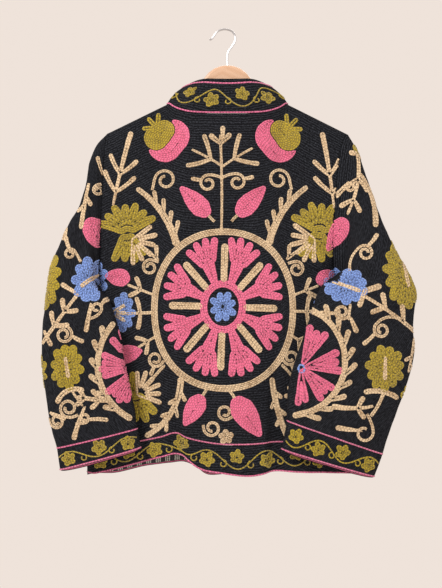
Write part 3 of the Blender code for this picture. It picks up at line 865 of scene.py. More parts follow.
def arc(root: Point, length: float, heading: float, bend: float = 0.0, count: int = 9) -> list[Point]:
    """Places of an arc.

    Args:
        root: Its start.
        length: Its length.
        heading: The way from its start to its end, in degrees.
        bend: How far it turns to the left on its way, in degrees.
        count: The number of steps.

    Returns:
        Places from its start to its end.
    """
    points = [root]
    for i in range(count):
        turn = bend * ((i + 0.5) / count - 0.5)
        points.append(onward(points[-1], length / count, heading + turn))
    return points


def winding(start: Point, way: float, radius: float, turns: float, inner: float) -> list[Point]:
    """Places of a spiral that winds in from a start.

    Args:
        start: Its outer end.
        way: Which way it sets off, in degrees.
        radius: Its outer radius.
        turns: Its turns, to the left above 0.
        inner: The inner radius as a share of the outer one.

    Returns:
        The places, without the start.
    """
    count = max(int(abs(turns) * 16), 8)
    step = 360.0 * turns / count
    points = [start]
    for i in range(count):
        now = radius * (1.0 + (inner - 1.0) * i / count)
        points.append(onward(points[-1], now * math.radians(abs(step)), way + step * (i + 0.5)))
    return points[1:]


class Fingers(Enum):
    """How a stem bears its fingers."""

    ONE_SIDE = "one side"
    IN_TURN = "in turn"
    PAIRS = "pairs"


@dataclass(frozen=True)
class Motif:
    """A motif that grows from a root in the plan, with headings of 0 to the right and 90 up."""

    root: Point
    heading: float
    turned: ClassVar[tuple[str, ...]] = ()

    def mirrored(self) -> "Motif":
        """The same motif on the other side of the middle."""
        others = {name: -getattr(self, name) for name in self.turned}
        return replace(self, root=(-self.root[0], self.root[1]), heading=180.0 - self.heading, **others)

    def by_hand(self, rng: np.random.Generator) -> "Motif":
        """The motif a little off its place and angle, as in hand work."""
        across, up, turn = rng.normal(0.0, (1.0, 1.0, 1.6))
        return replace(self, root=(self.root[0] + across, self.root[1] + up), heading=self.heading + turn)

    def work(self, plan: Plan) -> None:
        """Adds the motif's shapes to a plan."""
        raise NotImplementedError


@dataclass(frozen=True)
class Sprig(Motif):
    """A stem with blunt fingers.

    Attributes:
        bend: How far the stem turns to the left on its way.
        fingers: The number of fingers, or of pairs, with their reach.
        side: 1 where the first finger is on the stem's left, -1 where it is on its right.
        spread: The angle between a finger and the stem.
        first: Where the first finger leaves and, in last, the last one, as shares of the stem.
        thick: The stem's half width at its start and its end.
        blunt: A finger's half width.
    """

    length: float = 40.0
    bend: float = 0.0
    fingers: int = 0
    reach: float = 24.0
    side: float = 1.0
    bears: Fingers = Fingers.IN_TURN
    spread: float = 42.0
    first: float = 0.35
    last: float = 0.85
    thick: Pair = (3.0, 3.6)
    blunt: float = 3.8
    thread: Thread = Thread.SAND
    turned: ClassVar[tuple[str, ...]] = ("bend", "side")

    def work(self, plan: Plan) -> None:
        """Adds the stem and its fingers as one shape.

        Args:
            plan: The plan.
        """
        line = np.array(arc(self.root, self.length, self.heading, self.bend))
        strands = [Strand(tuple(map(tuple, line)), *self.thick)]
        for i in range(self.fingers):
            share = self.first + (self.last - self.first) * i / max(self.fingers - 1, 1)
            start = tuple(read(line, np.arange(len(line)), share * (len(line) - 1)))
            way = self.heading + self.bend * (share - 0.5)
            side = self.side * (-1.0) ** i if self.bears is Fingers.IN_TURN else self.side
            for turn in (side, -side) if self.bears is Fingers.PAIRS else (side,):
                reach = self.reach * (1.0 - 0.12 * (i % 2))
                points = arc(start, reach, way + turn * self.spread, -turn * 16.0, 4)
                strands.append(Strand(tuple(points), self.blunt * 0.78, self.blunt))
        plan.patches.append(Patch(self.thread, strands))


@dataclass(frozen=True)
class Curl(Motif):
    """A line that winds into a spiral.

    Attributes:
        stem: The length of the line before it winds, which turns by bend.
        turns: The spiral's turns, to the left above 0.
        spur: The length of a blunt finger that leaves its outer turn.
        inner: The inner radius as a share of the outer one.
    """

    stem: float = 12.0
    radius: float = 13.0
    turns: float = 1.3
    spur: float = 0.0
    bend: float = 0.0
    inner: float = 0.34
    turned: ClassVar[tuple[str, ...]] = ("turns", "bend")

    def work(self, plan: Plan) -> None:
        """Adds the line and its finger.

        Args:
            plan: The plan.
        """
        points = arc(self.root, self.stem, self.heading, self.bend, 4) if self.stem else [self.root]
        way, side = self.heading + self.bend / 2, math.copysign(1.0, self.turns)
        curl = winding(points[-1], way, self.radius, self.turns, self.inner)
        if self.spur:
            finger = arc(curl[2], self.spur, way - side * 8.0, -side * 16.0, 4)
            plan.patches.append(Patch(Thread.SAND, [Strand(tuple(finger), 2.8, 3.9)]))
        points += curl
        plan.trails.append(Trail(Thread.SAND, points))


@dataclass(frozen=True)
class Bud(Motif):
    """A drop-shaped bud, whose root is its round end. It may have a thin stalk behind it."""

    length: float = 60.0
    width: float = 34.0
    stalk: float = 0.0
    thread: Thread = Thread.PINK
    lift: float = 0.0

    def work(self, plan: Plan) -> None:
        """Adds the bud and its stalk.

        Args:
            plan: The plan.
        """
        share = np.linspace(0.0, 1.0, 7)
        half = self.width / 2 * np.sin(np.pi * (0.27 + 0.64 * share**0.68))
        start, reach = self.width * 0.33, self.length - self.width * 0.5
        places = [onward(self.root, start + reach * s, self.heading) for s in share]
        pairs = zip(places, places[1:], half, half[1:])
        strands = [Strand((a, b), wa, wb) for a, b, wa, wb in pairs]
        plan.patches.append(Patch(self.thread, strands, lift=self.lift))
        if self.stalk:
            plan.trails.append(Trail(Thread.SAND, arc(self.root, self.stalk, self.heading + 180.0, 20.0, 4)))


@dataclass(frozen=True)
class Blossom(Motif):
    """A flower of blunt petals about a full middle, with a sand-coloured bar along its heading."""

    wide: float = 60.0
    tall: float = 78.0
    lobes: int = 9
    thread: Thread = Thread.BLUE
    blunt: float = 8.0
    bar: float = 0.0

    def work(self, plan: Plan) -> None:
        """Adds the petals and the bar.

        Args:
            plan: The plan.
        """
        strands = []
        for i in range(self.lobes):
            angle = math.radians(self.heading + 360.0 * i / self.lobes)
            reach = 1.0 - 0.08 * (i % 2)
            way = (
                (self.wide / 2 - self.blunt) * reach * math.cos(angle),
                (self.tall / 2 - self.blunt) * reach * math.sin(angle),
            )
            near, far = (tuple(c + w * s for c, w in zip(self.root, way)) for s in (0.35, 1.0))
            strands.append(Strand((near, far), min(self.wide, self.tall) * 0.2, self.blunt))
        plan.patches.append(Patch(self.thread, strands))
        if self.bar:
            start = onward(self.root, -self.bar / 2, self.heading)
            line = Strand(tuple(arc(start, self.bar, self.heading, 0.0, 2)), 2.9, 3.6)
            plan.patches.append(Patch(Thread.SAND, [line], lift=0.8))


@dataclass(frozen=True)
class Fan(Motif):
    """Fingers or lobes that spread from one root.

    Attributes:
        step: The angle between neighbours.
        heel: Their half width near the root, and in blunt at the tips.
        neck: Where they part, as a share of their reach.
    """

    reach: float = 42.0
    lobes: int = 6
    step: float = 22.0
    heel: float = 4.0
    blunt: float = 4.0
    neck: float = 0.05
    thread: Thread = Thread.SAND
    lift: float = 0.5

    def work(self, plan: Plan) -> None:
        """Adds the lobes as one shape.

        Args:
            plan: The plan.
        """
        strands = []
        for i in range(self.lobes):
            turn = self.step * (i - (self.lobes - 1) / 2)
            near = onward(self.root, self.reach * self.neck, self.heading + turn * 0.6)
            far = onward(self.root, self.reach * (1.0 - 0.08 * (i % 2)), self.heading + turn)
            strands.append(Strand((near, far), self.heel, self.blunt))
        plan.patches.append(Patch(self.thread, strands, lift=self.lift))


@dataclass(frozen=True)
class Pomegranate(Motif):
    """A fruit of two colours, whose heading is the way to its crown. Its side is where the cap leans."""

    radius: float = 30.0
    side: float = 1.0
    turned: ClassVar[tuple[str, ...]] = ("side",)

    def work(self, plan: Plan) -> None:
        """Adds the fruit, its cap and the crown.

        Args:
            plan: The plan.
        """
        aside = self.heading + 90.0 * self.side
        fruit = tuple(onward(self.root, reach * self.radius, aside) for reach in (-0.3, 0.3))
        cap_middle = onward(self.root, self.radius * 0.6, self.heading)
        cap = tuple(onward(cap_middle, reach * self.radius, aside) for reach in (-0.42, 0.2))
        outline = Strand(fruit, self.radius, self.radius * 0.94)
        gap = Strand(cap, self.radius * 0.7, self.radius * 0.6)
        plan.patches.append(Patch(Thread.PINK, [outline], [gap]))
        plan.patches.append(Patch(Thread.OLIVE, [Strand(cap, self.radius * 0.68, self.radius * 0.58)]))
        crown = onward(self.root, self.radius * 0.95, self.heading)
        Fan(crown, self.heading, 23.0, 3, 48.0, 4.2, 4.2, 0.0, Thread.OLIVE, 0.0).work(plan)


@dataclass
class Stitcher:
    """Works a plan's shapes into rows on a panel's flat cloth."""

    lay: Lay
    cell: float = 0.95
    seed: int = 5

    def flat_strand(self, strand: Strand) -> Array:
        """A strand's places and half widths on the flat cloth."""
        places = strand.places()
        middle = self.lay.from_plan(places[:, :2])
        aside = self.lay.from_plan(places[:, :2] + [PROBE, 0.0]) - middle
        above = self.lay.from_plan(places[:, :2] + [0.0, PROBE]) - middle
        area = np.abs(aside[:, 0] * above[:, 1] - aside[:, 1] * above[:, 0])
        scale = np.clip(np.sqrt(area) / PROBE, 0.95, 1.45)
        return np.column_stack([middle, places[:, 2] * scale])

    def inside_depth(self, strands: list[Array], x: Array, z: Array) -> Array:
        """How deep each cell lies inside the strands.

        Args:
            strands: Places and half widths on the flat cloth.
            x: The cells' first numbers.
            z: Their second numbers.

        Returns:
            The depth, which is below 0 outside.
        """
        depth = np.full(x.shape, -1e3)
        for line in strands:
            reach = line[:, 2].max() + 4
            low, high = line[:, :2].min(0) - reach, line[:, :2].max(0) + reach
            columns = np.flatnonzero((x[0] >= low[0]) & (x[0] <= high[0]))
            rows = np.flatnonzero((z[:, 0] >= low[1]) & (z[:, 0] <= high[1]))
            if not len(columns) or not len(rows):
                continue
            window = np.ix_(rows, columns)
            wx, wz = x[window], z[window]
            best = depth[window]
            for (ax, az, ar), (bx, bz, br) in zip(line[:-1], line[1:]):
                dx, dz = bx - ax, bz - az
                share = ((wx - ax) * dx + (wz - az) * dz) / max(dx * dx + dz * dz, 1e-9)
                share = np.clip(share, 0, 1)
                away = np.hypot(wx - ax - dx * share, wz - az - dz * share)
                best = np.maximum(best, ar + (br - ar) * share - away)
            depth[window] = best
        return depth

    def fill(
        self, thread: Thread, strands: list[Array], cuts: list[Array], lift: float,
        rng: np.random.Generator,
    ) -> list["StitchRow"]:
        """The rows that fill a shape, from its outline inwards.

        Args:
            thread: The thread.
            strands: Places and half widths on the flat cloth.
            cuts: The same of what is left out.
            lift: How far the shape lies on others.
            rng: The source of the outline's unevenness.

        Returns:
            The rows.
        """
        every = np.vstack(strands)
        reach = every[:, 2].max() + 3 * self.cell
        low, high = every[:, :2].min(0) - reach, every[:, :2].max(0) + reach
        x, z = np.meshgrid(np.arange(low[0], high[0], self.cell), np.arange(low[1], high[1], self.cell))
        depth = self.inside_depth(strands, x, z)
        if cuts:
            depth = np.minimum(depth, -self.inside_depth(cuts, x, z))
        depth = depth + 0.22 * np.sin(x / 5.3 + rng.uniform(0, 6)) * np.sin(z / 4.6 + rng.uniform(0, 6))
        depth[[0, -1]] = depth[:, [0, -1]] = -1.0
        made = []
        half = float(np.median(np.concatenate([line[:, 2] for line in strands])))
        if half > 2.6 * ROW:
            half = depth.max()
        width = half / max(round(half / ROW + 0.1), 1)
        width = min(max(width, 0.8 * ROW), 1.2 * ROW)
        for number in range(1, int(depth.max() / width * 2) + 1):
            full = number % 2 == 1
            for line in contours(depth, width * number / 2):
                line = [x[0, 0], z[0, 0]] + line * self.cell
                length = np.linalg.norm(line - np.roll(line, -1, axis=0), axis=1).sum()
                if length > SHORTEST_RING:
                    ring = even_ring(line, FULL_STEP if full else LOW_STEP)
                    made.append(StitchRow(thread, ring, lift, full, width))
        return made

    def trail_rows(self, trail: Trail) -> list["StitchRow"]:
        """The rows of a line, side by side."""
        flat = self.lay.from_plan(smooth_line(np.array(trail.points, float), 2.5, trail.closed))
        if trail.closed:
            flat = np.vstack([flat, flat[:1]])
        offsets = (np.arange(trail.rows) - (trail.rows - 1) / 2) * trail.width
        return [StitchRow(trail.thread, beside(flat, offset), width=trail.width) for offset in offsets]

    def work(self, plan: Plan) -> list["StitchRow"]:
        """All rows of a plan.

        Args:
            plan: The plan.

        Returns:
            The rows of its stitches.
        """
        rng = np.random.default_rng(self.seed)
        made = []
        for patch in plan.patches:
            strands, cuts = ([self.flat_strand(s) for s in some] for some in (patch.strands, patch.cuts))
            made += self.fill(patch.thread, strands, cuts, patch.lift, rng)
        for trail in plan.trails:
            made += self.trail_rows(trail)
        return made


@dataclass
class StitchRow:
    """One row of chain stitch on the flat cloth, with the first place repeated at the end of a ring.

    A row that isn't full is a low one between two, which the thread's material paints in shade. The width is
    the distance between neighbours.
    """

    thread: Thread
    places: Array
    lift: float = 0.0
    full: bool = True
    width: float = LINE_ROW


def beside(line: Array, offset: float) -> Array:
    """A flat line moved to its left."""
    ahead = unit(np.gradient(line, axis=0))
    return line + np.stack([-ahead[:, 1], ahead[:, 0]], 1) * offset


def even_ring(line: Array, step: float) -> Array:
    """A closed line, smoothed and with even steps, its first place repeated at its end."""
    for _ in range(2):
        line = (np.roll(line, 1, axis=0) + 2 * line + np.roll(line, -1, axis=0)) / 4
    ring = np.vstack([line, line[:1]])
    along = run_of(ring)
    count = max(int(round(along[-1] / step)), 4)
    at = np.linspace(0, along[-1], count + 1)
    return read(ring, along, at)


# For each case of a cell's corners, the sides that a contour enters and leaves by
CONTOUR_CASES = {
    1: [(0, 3)], 2: [(1, 0)], 3: [(1, 3)], 4: [(2, 1)], 5: [(0, 3), (2, 1)], 6: [(2, 0)], 7: [(2, 3)],
    8: [(3, 2)], 9: [(0, 2)], 10: [(1, 0), (3, 2)], 11: [(1, 2)], 12: [(3, 1)], 13: [(0, 1)], 14: [(3, 0)],
}


def contours(values: Array, level: float) -> list[Array]:
    """Closed lines on which a grid's values pass a level.

    Args:
        values: The grid's values, below the level all along its border.
        level: The level.

    Returns:
        Lines of column and row numbers.
    """
    inside = values > level
    rows, columns = values.shape
    case = inside[:-1, :-1] * 1 + inside[:-1, 1:] * 2 + inside[1:, 1:] * 4 + inside[1:, :-1] * 8
    flat = values.ravel()

    # A side has the number of its first corner, plus the count of corners where it is upright
    upright_from = rows * columns
    sides = (0, upright_from + 1, columns, upright_from)
    follow: dict[int, int] = {}
    for number, pairs in CONTOUR_CASES.items():
        r, c = np.nonzero(case == number)
        cell = r * columns + c
        for start, end in pairs:
            follow.update(zip((cell + sides[start]).tolist(), (cell + sides[end]).tolist()))
    lines = []
    while follow:
        first, key = follow.popitem()
        keys = [first]
        while key != first and key in follow:
            keys.append(key)
            key = follow.pop(key)
        if len(keys) < 4:
            continue
        keys = np.array(keys)
        upright = keys >= upright_from
        a = np.where(upright, keys - upright_from, keys)
        b = np.where(upright, a + columns, a + 1)
        share = (level - flat[a]) / np.where(flat[b] == flat[a], 1.0, flat[b] - flat[a])
        row, column = a // columns, a % columns
        lines.append(np.stack([column + np.where(upright, 0, share), row + np.where(upright, share, 0)], 1))
    return lines


@dataclass(frozen=True)
class Vine:
    """A wavy stem with a leaf in each bend, between two lines of the flat cloth.

    Attributes:
        step: About how far apart its leaves are.
        swing: The stem's swing, as a share of the distance between the lines.
        tendril: The radius of the small curl between two leaves.
    """

    step: float = 50.0
    swing: float = 0.27
    size: float = 20.0
    tendril: float = 6.5
    lobes: ClassVar[tuple[Pair, ...]] = (
        (0.0, 1.0), (62.0, 0.86), (-62.0, 0.86), (128.0, 0.66), (-128.0, 0.66),
    )

    def rows(self, stitcher: Stitcher, top: Array, foot: Array) -> list["StitchRow"]:
        """The vine's rows.

        Args:
            stitcher: What fills the leaves.
            top: The upper line.
            foot: The lower line, with a place for each of the upper one's.

        Returns:
            The rows of the stem, the leaves and the tendrils.
        """
        rng = np.random.default_rng(stitcher.seed + 40)
        middle, rise = (top + foot) / 2, top - foot
        along = run_of(middle)
        count = max(round(along[-1] / self.step), 1)
        step = along[-1] / count

        def at(length: Array | float, share: Array | float) -> Array:
            """Places of the band, by their length along it and share of its height."""
            return read(middle, along, length) + np.asarray(share)[..., None] * read(rise, along, length)

        length = np.arange(6.0, along[-1] - 6.0, 2.3)
        made = [StitchRow(Thread.OLIVE, at(length, self.swing * np.sin(math.pi * length / step)))]
        for i in range(count):
            side = (-1.0) ** i
            centre = at((i + 0.5 + rng.uniform(-0.08, 0.08)) * step, -0.1 * side)
            turn, size = rng.uniform(50, 130), self.size * rng.uniform(0.92, 1.06)
            tips = [onward(tuple(centre), size * reach * 0.6, turn + angle) for angle, reach in self.lobes]
            strands = [np.array([[*centre, size * 0.4], [*tip, size * 0.24]]) for tip in tips]
            made += stitcher.fill(Thread.OLIVE, strands, [], 0.0, rng)
            if i and self.tendril:
                start = tuple(at(i * step, 0.0))
                curl = winding(start, 90.0 + 90.0 * side, self.tendril, side * 0.9, 0.5)
                made.append(StitchRow(Thread.OLIVE, smooth_line(np.array([start, *curl]), 2.3)))
        return made


HEM_VINE = Vine()
CUFF_VINE = Vine(step=45.0, size=18.5, tendril=5.5)
COLLAR_VINE = Vine(step=45.0, size=18.0, tendril=5.5)


# Meshes


def finished(name: str, bm: bmesh.types.BMesh, material: Material) -> Piece:
    """An object from a bmesh, smooth, with its material."""
    mesh = bpy.data.meshes.new(name)
    bm.to_mesh(mesh)
    bm.free()
    mesh.materials.append(material)
    mesh.shade_smooth()
    made = bpy.data.objects.new(name, mesh)
    bpy.context.scene.collection.objects.link(made)
    return made


@dataclass
class RowMesh:
    """Raised ribbons of chain stitch on hanging cloth.

    The heights are those of a full row's middle, of a low row's middle and of a row's edges.
    """

    crown: float = 1.35
    low_crown: float = 0.3
    edge: float = -0.12

    def ribbons(self, rows: list[StitchRow], lay: Lay) -> list[tuple[Array, Array, StitchRow]]:
        """Each row's points and normals on the cloth, cut where the cloth ends.

        Args:
            rows: The rows.
            lay: The cloth.

        Returns:
            Points, normals and the row that they are of.
        """
        every = np.vstack([row.places for row in rows])
        points, normals, on = lay.hang(every)
        made, start = [], 0
        for row in rows:
            stop = start + len(row.places)
            keep = on[start:stop]
            jumps = np.linalg.norm(np.diff(points[start:stop], axis=0), axis=1) > LONGEST_JUMP
            breaks = np.flatnonzero((np.diff(keep.astype(int)) != 0) | jumps) + 1
            for run in np.split(np.arange(start, stop), breaks):
                if on[run[0]] and len(run) > 2:
                    made.append((points[run], normals[run], row))
            start = stop
        return made

    def build(self, name: str, ribbons: list[tuple[Array, Array, StitchRow]], material: Material) -> Piece:
        """One piece of embroidery.

        Args:
            name: The piece's name.
            ribbons: Its ribbons.
            material: The thread's material.

        Returns:
            The new object.
        """
        left, crown, right, along, low, joined = [], [], [], [], [], []
        for number, (points, normals, row) in enumerate(ribbons):
            aside = unit(np.cross(np.gradient(points, axis=0), normals))
            count = len(points)
            swell = 1 + 0.08 * np.sin(np.arange(count) * 1.1 + number * 2.3)
            half = aside * (row.width / 2 * swell)[:, None]
            height = self.crown if row.full else self.low_crown
            # Low rows are marked so that the thread's material paints them in shade all over.
            low += [0.0 if row.full else 1.0] * count
            edge = normals * (self.edge + row.lift * 0.8)
            left.append(points - half + edge)
            crown.append(points + normals * (height + row.lift) * swell[:, None])
            right.append(points + half + edge)
            along.append(run_of(points) + 13.7 * (number % 17))
            joined += [True] * (count - 1) + [False]
        lines = [(np.vstack(part) * MM).tolist() for part in (left, crown, right)]
        run = np.concatenate(along).tolist()
        bm = bmesh.new()
        place = bm.verts.layers.int.new("place")
        strip = bm.verts.layers.int.new("strip")
        verts = [bm.verts.new(point) for point in lines[0]]
        for number, vert in enumerate(verts):
            vert[place] = number
        edges = [bm.edges.new(verts[i : i + 2]) for i, go in enumerate(joined) if go]
        for number in (1, 2):
            grown = bmesh.ops.extrude_edge_only(bm, edges=edges)["geom"]
            for part in grown:
                if isinstance(part, bmesh.types.BMVert):
                    part.co = lines[number][part[place]]
                    part[strip] = number
            edges = [part for part in grown if isinstance(part, bmesh.types.BMEdge)]
        layer = bm.loops.layers.uv.new("UVMap")
        for face in bm.faces:
            for loop in face.loops:
                number = loop.vert[place]
                # The second UV number runs from 0 in a row's middle to 1 at its edges and is 1 all over a low
                # row; the material paints shade where it is high.
                loop[layer].uv = (run[number], max(abs(loop.vert[strip] - 1.0), low[number]))
        bm.normal_update()
        bm.faces.ensure_lookup_table()
        if np.dot(np.array(bm.faces[0].normal), ribbons[0][1][0]) < 0:
            bmesh.ops.reverse_faces(bm, faces=bm.faces)
        bm.verts.layers.int.remove(strip)
        bm.verts.layers.int.remove(bm.verts.layers.int["place"])
        return finished(name, bm, material)


# Materials


class Value:
    """A socket of a shader with the operators that add Math nodes."""

    def __init__(self, graph: "Graph", socket: bpy.types.NodeSocket) -> None:
        """Keeps the graph and the socket."""
        self.graph, self.socket = graph, socket

    def math(self, operation: str, *others: "Value | float") -> "Value":
        """The result of a Math node."""
        return self.graph.node("ShaderNodeMath", {"operation": operation}, self, *others)

    def __add__(self, other: "Value | float") -> "Value":
        """Sum."""
        return self.math("ADD", other)

    def __sub__(self, other: "Value | float") -> "Value":
        """Difference."""
        return self.math("SUBTRACT", other)

    def __mul__(self, other: "Value | float") -> "Value":
        """Product."""
        return self.math("MULTIPLY", other)

    def __rsub__(self, other: float) -> "Value":
        """Reflected difference."""
        return self.graph.node("ShaderNodeMath", {"operation": "SUBTRACT"}, other, self)

    def clamp(self) -> "Value":
        """The value kept between 0 and 1."""
        return self.graph.node("ShaderNodeClamp", {}, self)


class Graph:
    """A material's node tree, with one method that adds any node."""

    def __init__(self, name: str, **constants: float | tuple) -> None:
        """Makes the material.

        Args:
            name: The material's name.
            constants: Values that are the same all over, by the names of their sockets.
        """
        self.material = bpy.data.materials.new(name)
        self.material.use_nodes = True
        self.tree = self.material.node_tree
        self.shader = self.tree.nodes["Principled BSDF"]
        for socket, value in constants.items():
            self.shader.inputs[socket.replace("_", " ")].default_value = value

    def node(self, kind: str, settings: dict, *inputs: object, output: int = 0) -> Value:
        """Adds a node.

        Args:
            kind: The node's type.
            settings: Its settings, with sockets that are found by name under the word named.
            inputs: Values or links of its sockets, in order. None leaves a socket as it is.
            output: The number of the output that is returned.

        Returns:
            The output.
        """
        made = self.tree.nodes.new(kind)
        for key, value in settings.items():
            if key == "named":
                for socket, held in value.items():
                    self.put(made.inputs[socket], held)
            else:
                setattr(made, key, value)
        for socket, held in zip(made.inputs, inputs):
            self.put(socket, held)
        return Value(self, made.outputs[output])

    def put(self, socket: bpy.types.NodeSocket, held: object) -> None:
        """Links a value to a socket, or sets a constant on it."""
        if isinstance(held, Value):
            self.tree.links.new(held.socket, socket)
        elif held is not None:
            socket.default_value = held

    def feed(self, socket: str, value: Value) -> None:
        """Links a value to the shader."""
        self.put(self.shader.inputs[socket], value)

    def places(self, name: str) -> tuple[Value, Value, Value]:
        """The three numbers of a coordinate, such as UV or Object, in the units that it has."""
        found = self.node("ShaderNodeTexCoord", {}, output={"UV": 2, "Object": 3}[name])
        split = self.tree.nodes.new("ShaderNodeSeparateXYZ")
        self.put(split.inputs[0], found)
        return tuple(Value(self, output) for output in split.outputs)

    def noise(self, x: Value, y: Value, z: Value | float = 0.0, detail: float = 2.0) -> Value:
        """Soft noise from 0 to 1 at a place."""
        vector = self.node("ShaderNodeCombineXYZ", {}, x, y, z)
        sockets = {"Vector": vector, "Scale": 1.0, "Detail": detail}
        return self.node("ShaderNodeTexNoise", {"named": sockets})

    def mix(self, factor: Value, first: tuple | Value, second: tuple | Value) -> Value:
        """A mix of two colours."""
        skipped = [None] * 5
        return self.node("ShaderNodeMix", {"data_type": "RGBA"}, factor, *skipped, first, second, output=2)

    def bump(self, height: Value, strength: float, distance: float) -> None:
        """Feeds a bump to the shader's normal."""
        sockets = {"Height": height, "Strength": strength, "Distance": distance}
        self.feed("Normal", self.node("ShaderNodeBump", {"named": sockets}))


@dataclass(frozen=True)
class ClothFinish:
    """Black crepe with fine uneven ribs across the cloth."""

    dark: tuple = (0.0030, 0.0034, 0.0048, 1.0)
    light: tuple = (0.046, 0.051, 0.065, 1.0)
    rib: float = 4.4

    @cache
    def material(self) -> Material:
        """The cloth's material.

        Returns:
            The new material, or the same one again.
        """
        g = Graph("black_crepe", Roughness=0.9, Specular_IOR_Level=0.1)
        u, v, _ = g.places("UV")
        waver = g.noise(u * 0.045, v * 0.12)
        ribs = ((v * (2 * math.pi / self.rib)) + waver * 9.0).math("SINE") * 0.5 + 0.5
        slub = g.noise(u * 0.34, v * 0.62, detail=3.0)
        fibre = g.noise(u * 1.3, v * 1.3)
        height = ribs * 0.24 + slub * 1.1 + fibre * 0.5
        g.feed("Base Color", g.mix(((height - 0.86) * 2.0).clamp(), self.dark, self.light))
        g.feed("Roughness", (0.94 - slub * 0.14).clamp())
        g.bump(height, 0.7, 0.0012)
        return g.material


@dataclass(frozen=True)
class ThreadFinish:
    """Wool-like thread worked in chain stitch, with shade painted into the gaps between stitches, along the
    ribbons' edges and over the low rows.

    Attributes:
        mottle: How much of the darker colour lies along it.
        furrow: How dark the painted shade in the furrows between rows is.
        stitch: The length of a stitch, in millimetres.
    """

    name: str
    main: tuple
    shade: tuple
    mottle: float = 0.35
    furrow: float = 1.0
    stitch: float = 5.2

    @cache
    def material(self) -> Material:
        """The thread's material.

        Returns:
            The new material, or the same one again.
        """
        g = Graph(self.name, Sheen_Weight=0.25, Sheen_Roughness=0.6, Specular_IOR_Level=0.25)
        u, v, _ = g.places("UV")
        x, _, z = g.places("Object")
        wander = g.noise(x * 150.0, z * 150.0)
        phase = (u * (1 / self.stitch) + v * 0.35 + wander * 0.8).math("FRACT")
        # The stitch gaps and the ribbon's edges shape the bump and are also painted darker, as painted shade.
        hollow_bump_and_shade = ((phase - 0.5).math("ABSOLUTE") * 2.0).math("POWER", 4.0)
        edge_bump_and_shade = ((v - 0.45) * 1.9).clamp() * self.furrow
        groove_bump_and_shade = (hollow_bump_and_shade * (0.95 - v * 0.45) + edge_bump_and_shade).clamp()
        length = g.noise(x * 34.0, z * 34.0, u * 0.012)
        fleck = g.noise(x * 420.0, z * 420.0, u * 0.1)
        tone = ((length - 0.42) * (2.2 * self.mottle) + (fleck - 0.48) * (3.4 * self.mottle)).clamp()
        colour = g.mix(tone, self.main, self.shade)
        # deep is the dark colour of that painted shade in the gaps, edges and furrows.
        deep = tuple(c * 0.2 for c in self.shade[:3]) + (1.0,)
        g.feed("Base Color", g.mix(groove_bump_and_shade * 0.72, colour, deep))
        g.feed("Roughness", (fleck * 0.14 + 0.76).clamp())
        g.bump((1.0 - groove_bump_and_shade) + fleck * 0.6, 1.0, 0.0012)
        return g.material


THREADS = {
    Thread.PINK: ThreadFinish("thread_pink", (0.78, 0.15, 0.285, 1.0), (0.52, 0.075, 0.15, 1.0), 0.6, 0.45),
    Thread.SAND: ThreadFinish("thread_sand", (0.70, 0.53, 0.335, 1.0), (0.33, 0.20, 0.09, 1.0), 0.8, 0.3),
    Thread.OLIVE: ThreadFinish("thread_olive", (0.42, 0.31, 0.013, 1), (0.19, 0.135, 0.008, 1), 0.75, 0.6),
    Thread.BLUE: ThreadFinish("thread_blue", (0.195, 0.33, 0.74, 1.0), (0.09, 0.155, 0.42, 1.0), 0.6, 0.65),
    Thread.ROSE: ThreadFinish("thread_rose", (0.74, 0.17, 0.33, 1.0), (0.42, 0.06, 0.15, 1.0), 0.4),
}


@dataclass(frozen=True)
class TapeFinish:
    """Black tape with groups of three pale bars woven across it.

    Repeat and bar are the distances between groups and between bars, in millimetres.
    """

    repeat: float = 17.0
    bar: float = 3.4
    height: float = 14.0

    @cache
    def material(self) -> Material:
        """The tape's material.

        Returns:
            The new material, or the same one again.
        """
        g = Graph("bar_tape", Roughness=0.8, Sheen_Weight=0.2)
        u, v, _ = g.places("UV")
        turn = (u * (1 / self.repeat)).math("FRACT") * self.repeat
        bars = ((turn * (1 / self.bar)).math("FRACT") - 0.5).math("ABSOLUTE").math("LESS_THAN", 0.24)
        group = turn.math("LESS_THAN", self.bar * 3)
        middle = (v - self.height / 2).math("ABSOLUTE")
        inner = middle.math("LESS_THAN", self.height / 2 - 2.4)
        edge = middle.math("GREATER_THAN", self.height / 2 - 1.3)
        weave = g.noise(u * 2.2, v * 2.2)
        base = g.mix(weave, (0.008, 0.008, 0.011, 1.0), (0.03, 0.03, 0.036, 1.0))
        barred = g.mix(bars * group * inner, base, (0.62, 0.60, 0.55, 1.0))
        g.feed("Base Color", g.mix(edge, barred, (0.50, 0.09, 0.2, 1.0)))
        g.bump(weave, 0.5, 0.0004)
        return g.material


@dataclass(frozen=True)
class WoodFinish:
    """Pale varnished wood with grain along the hanger's arms."""

    light: tuple = (0.58, 0.38, 0.255, 1.0)
    dark: tuple = (0.47, 0.265, 0.15, 1.0)

    @cache
    def material(self) -> Material:
        """The wood's material.

        Returns:
            The new material, or the same one again.
        """
        g = Graph("pale_wood", Coat_Weight=0.25, Coat_Roughness=0.2, Roughness=0.45)
        x, y, z = g.places("Object")
        bend = g.noise(x * 4.0, y * 9.0, z * 9.0)
        rings = ((z + x.math("ABSOLUTE") * 0.45) * 520.0 + y * 260.0 + bend * 9.0).math("SINE") * 0.5 + 0.5
        fine = g.noise(x * 90.0, y * 700.0, (z + x.math("ABSOLUTE") * 0.45) * 900.0, detail=3.0)
        tone = (rings * 0.4 + fine * 0.6 - 0.1).clamp()
        g.feed("Base Color", g.mix(tone, self.light, self.dark))
        g.feed("Roughness", (fine * 0.2 + 0.36).clamp())
        g.bump(fine, 0.25, 0.0003)
        return g.material


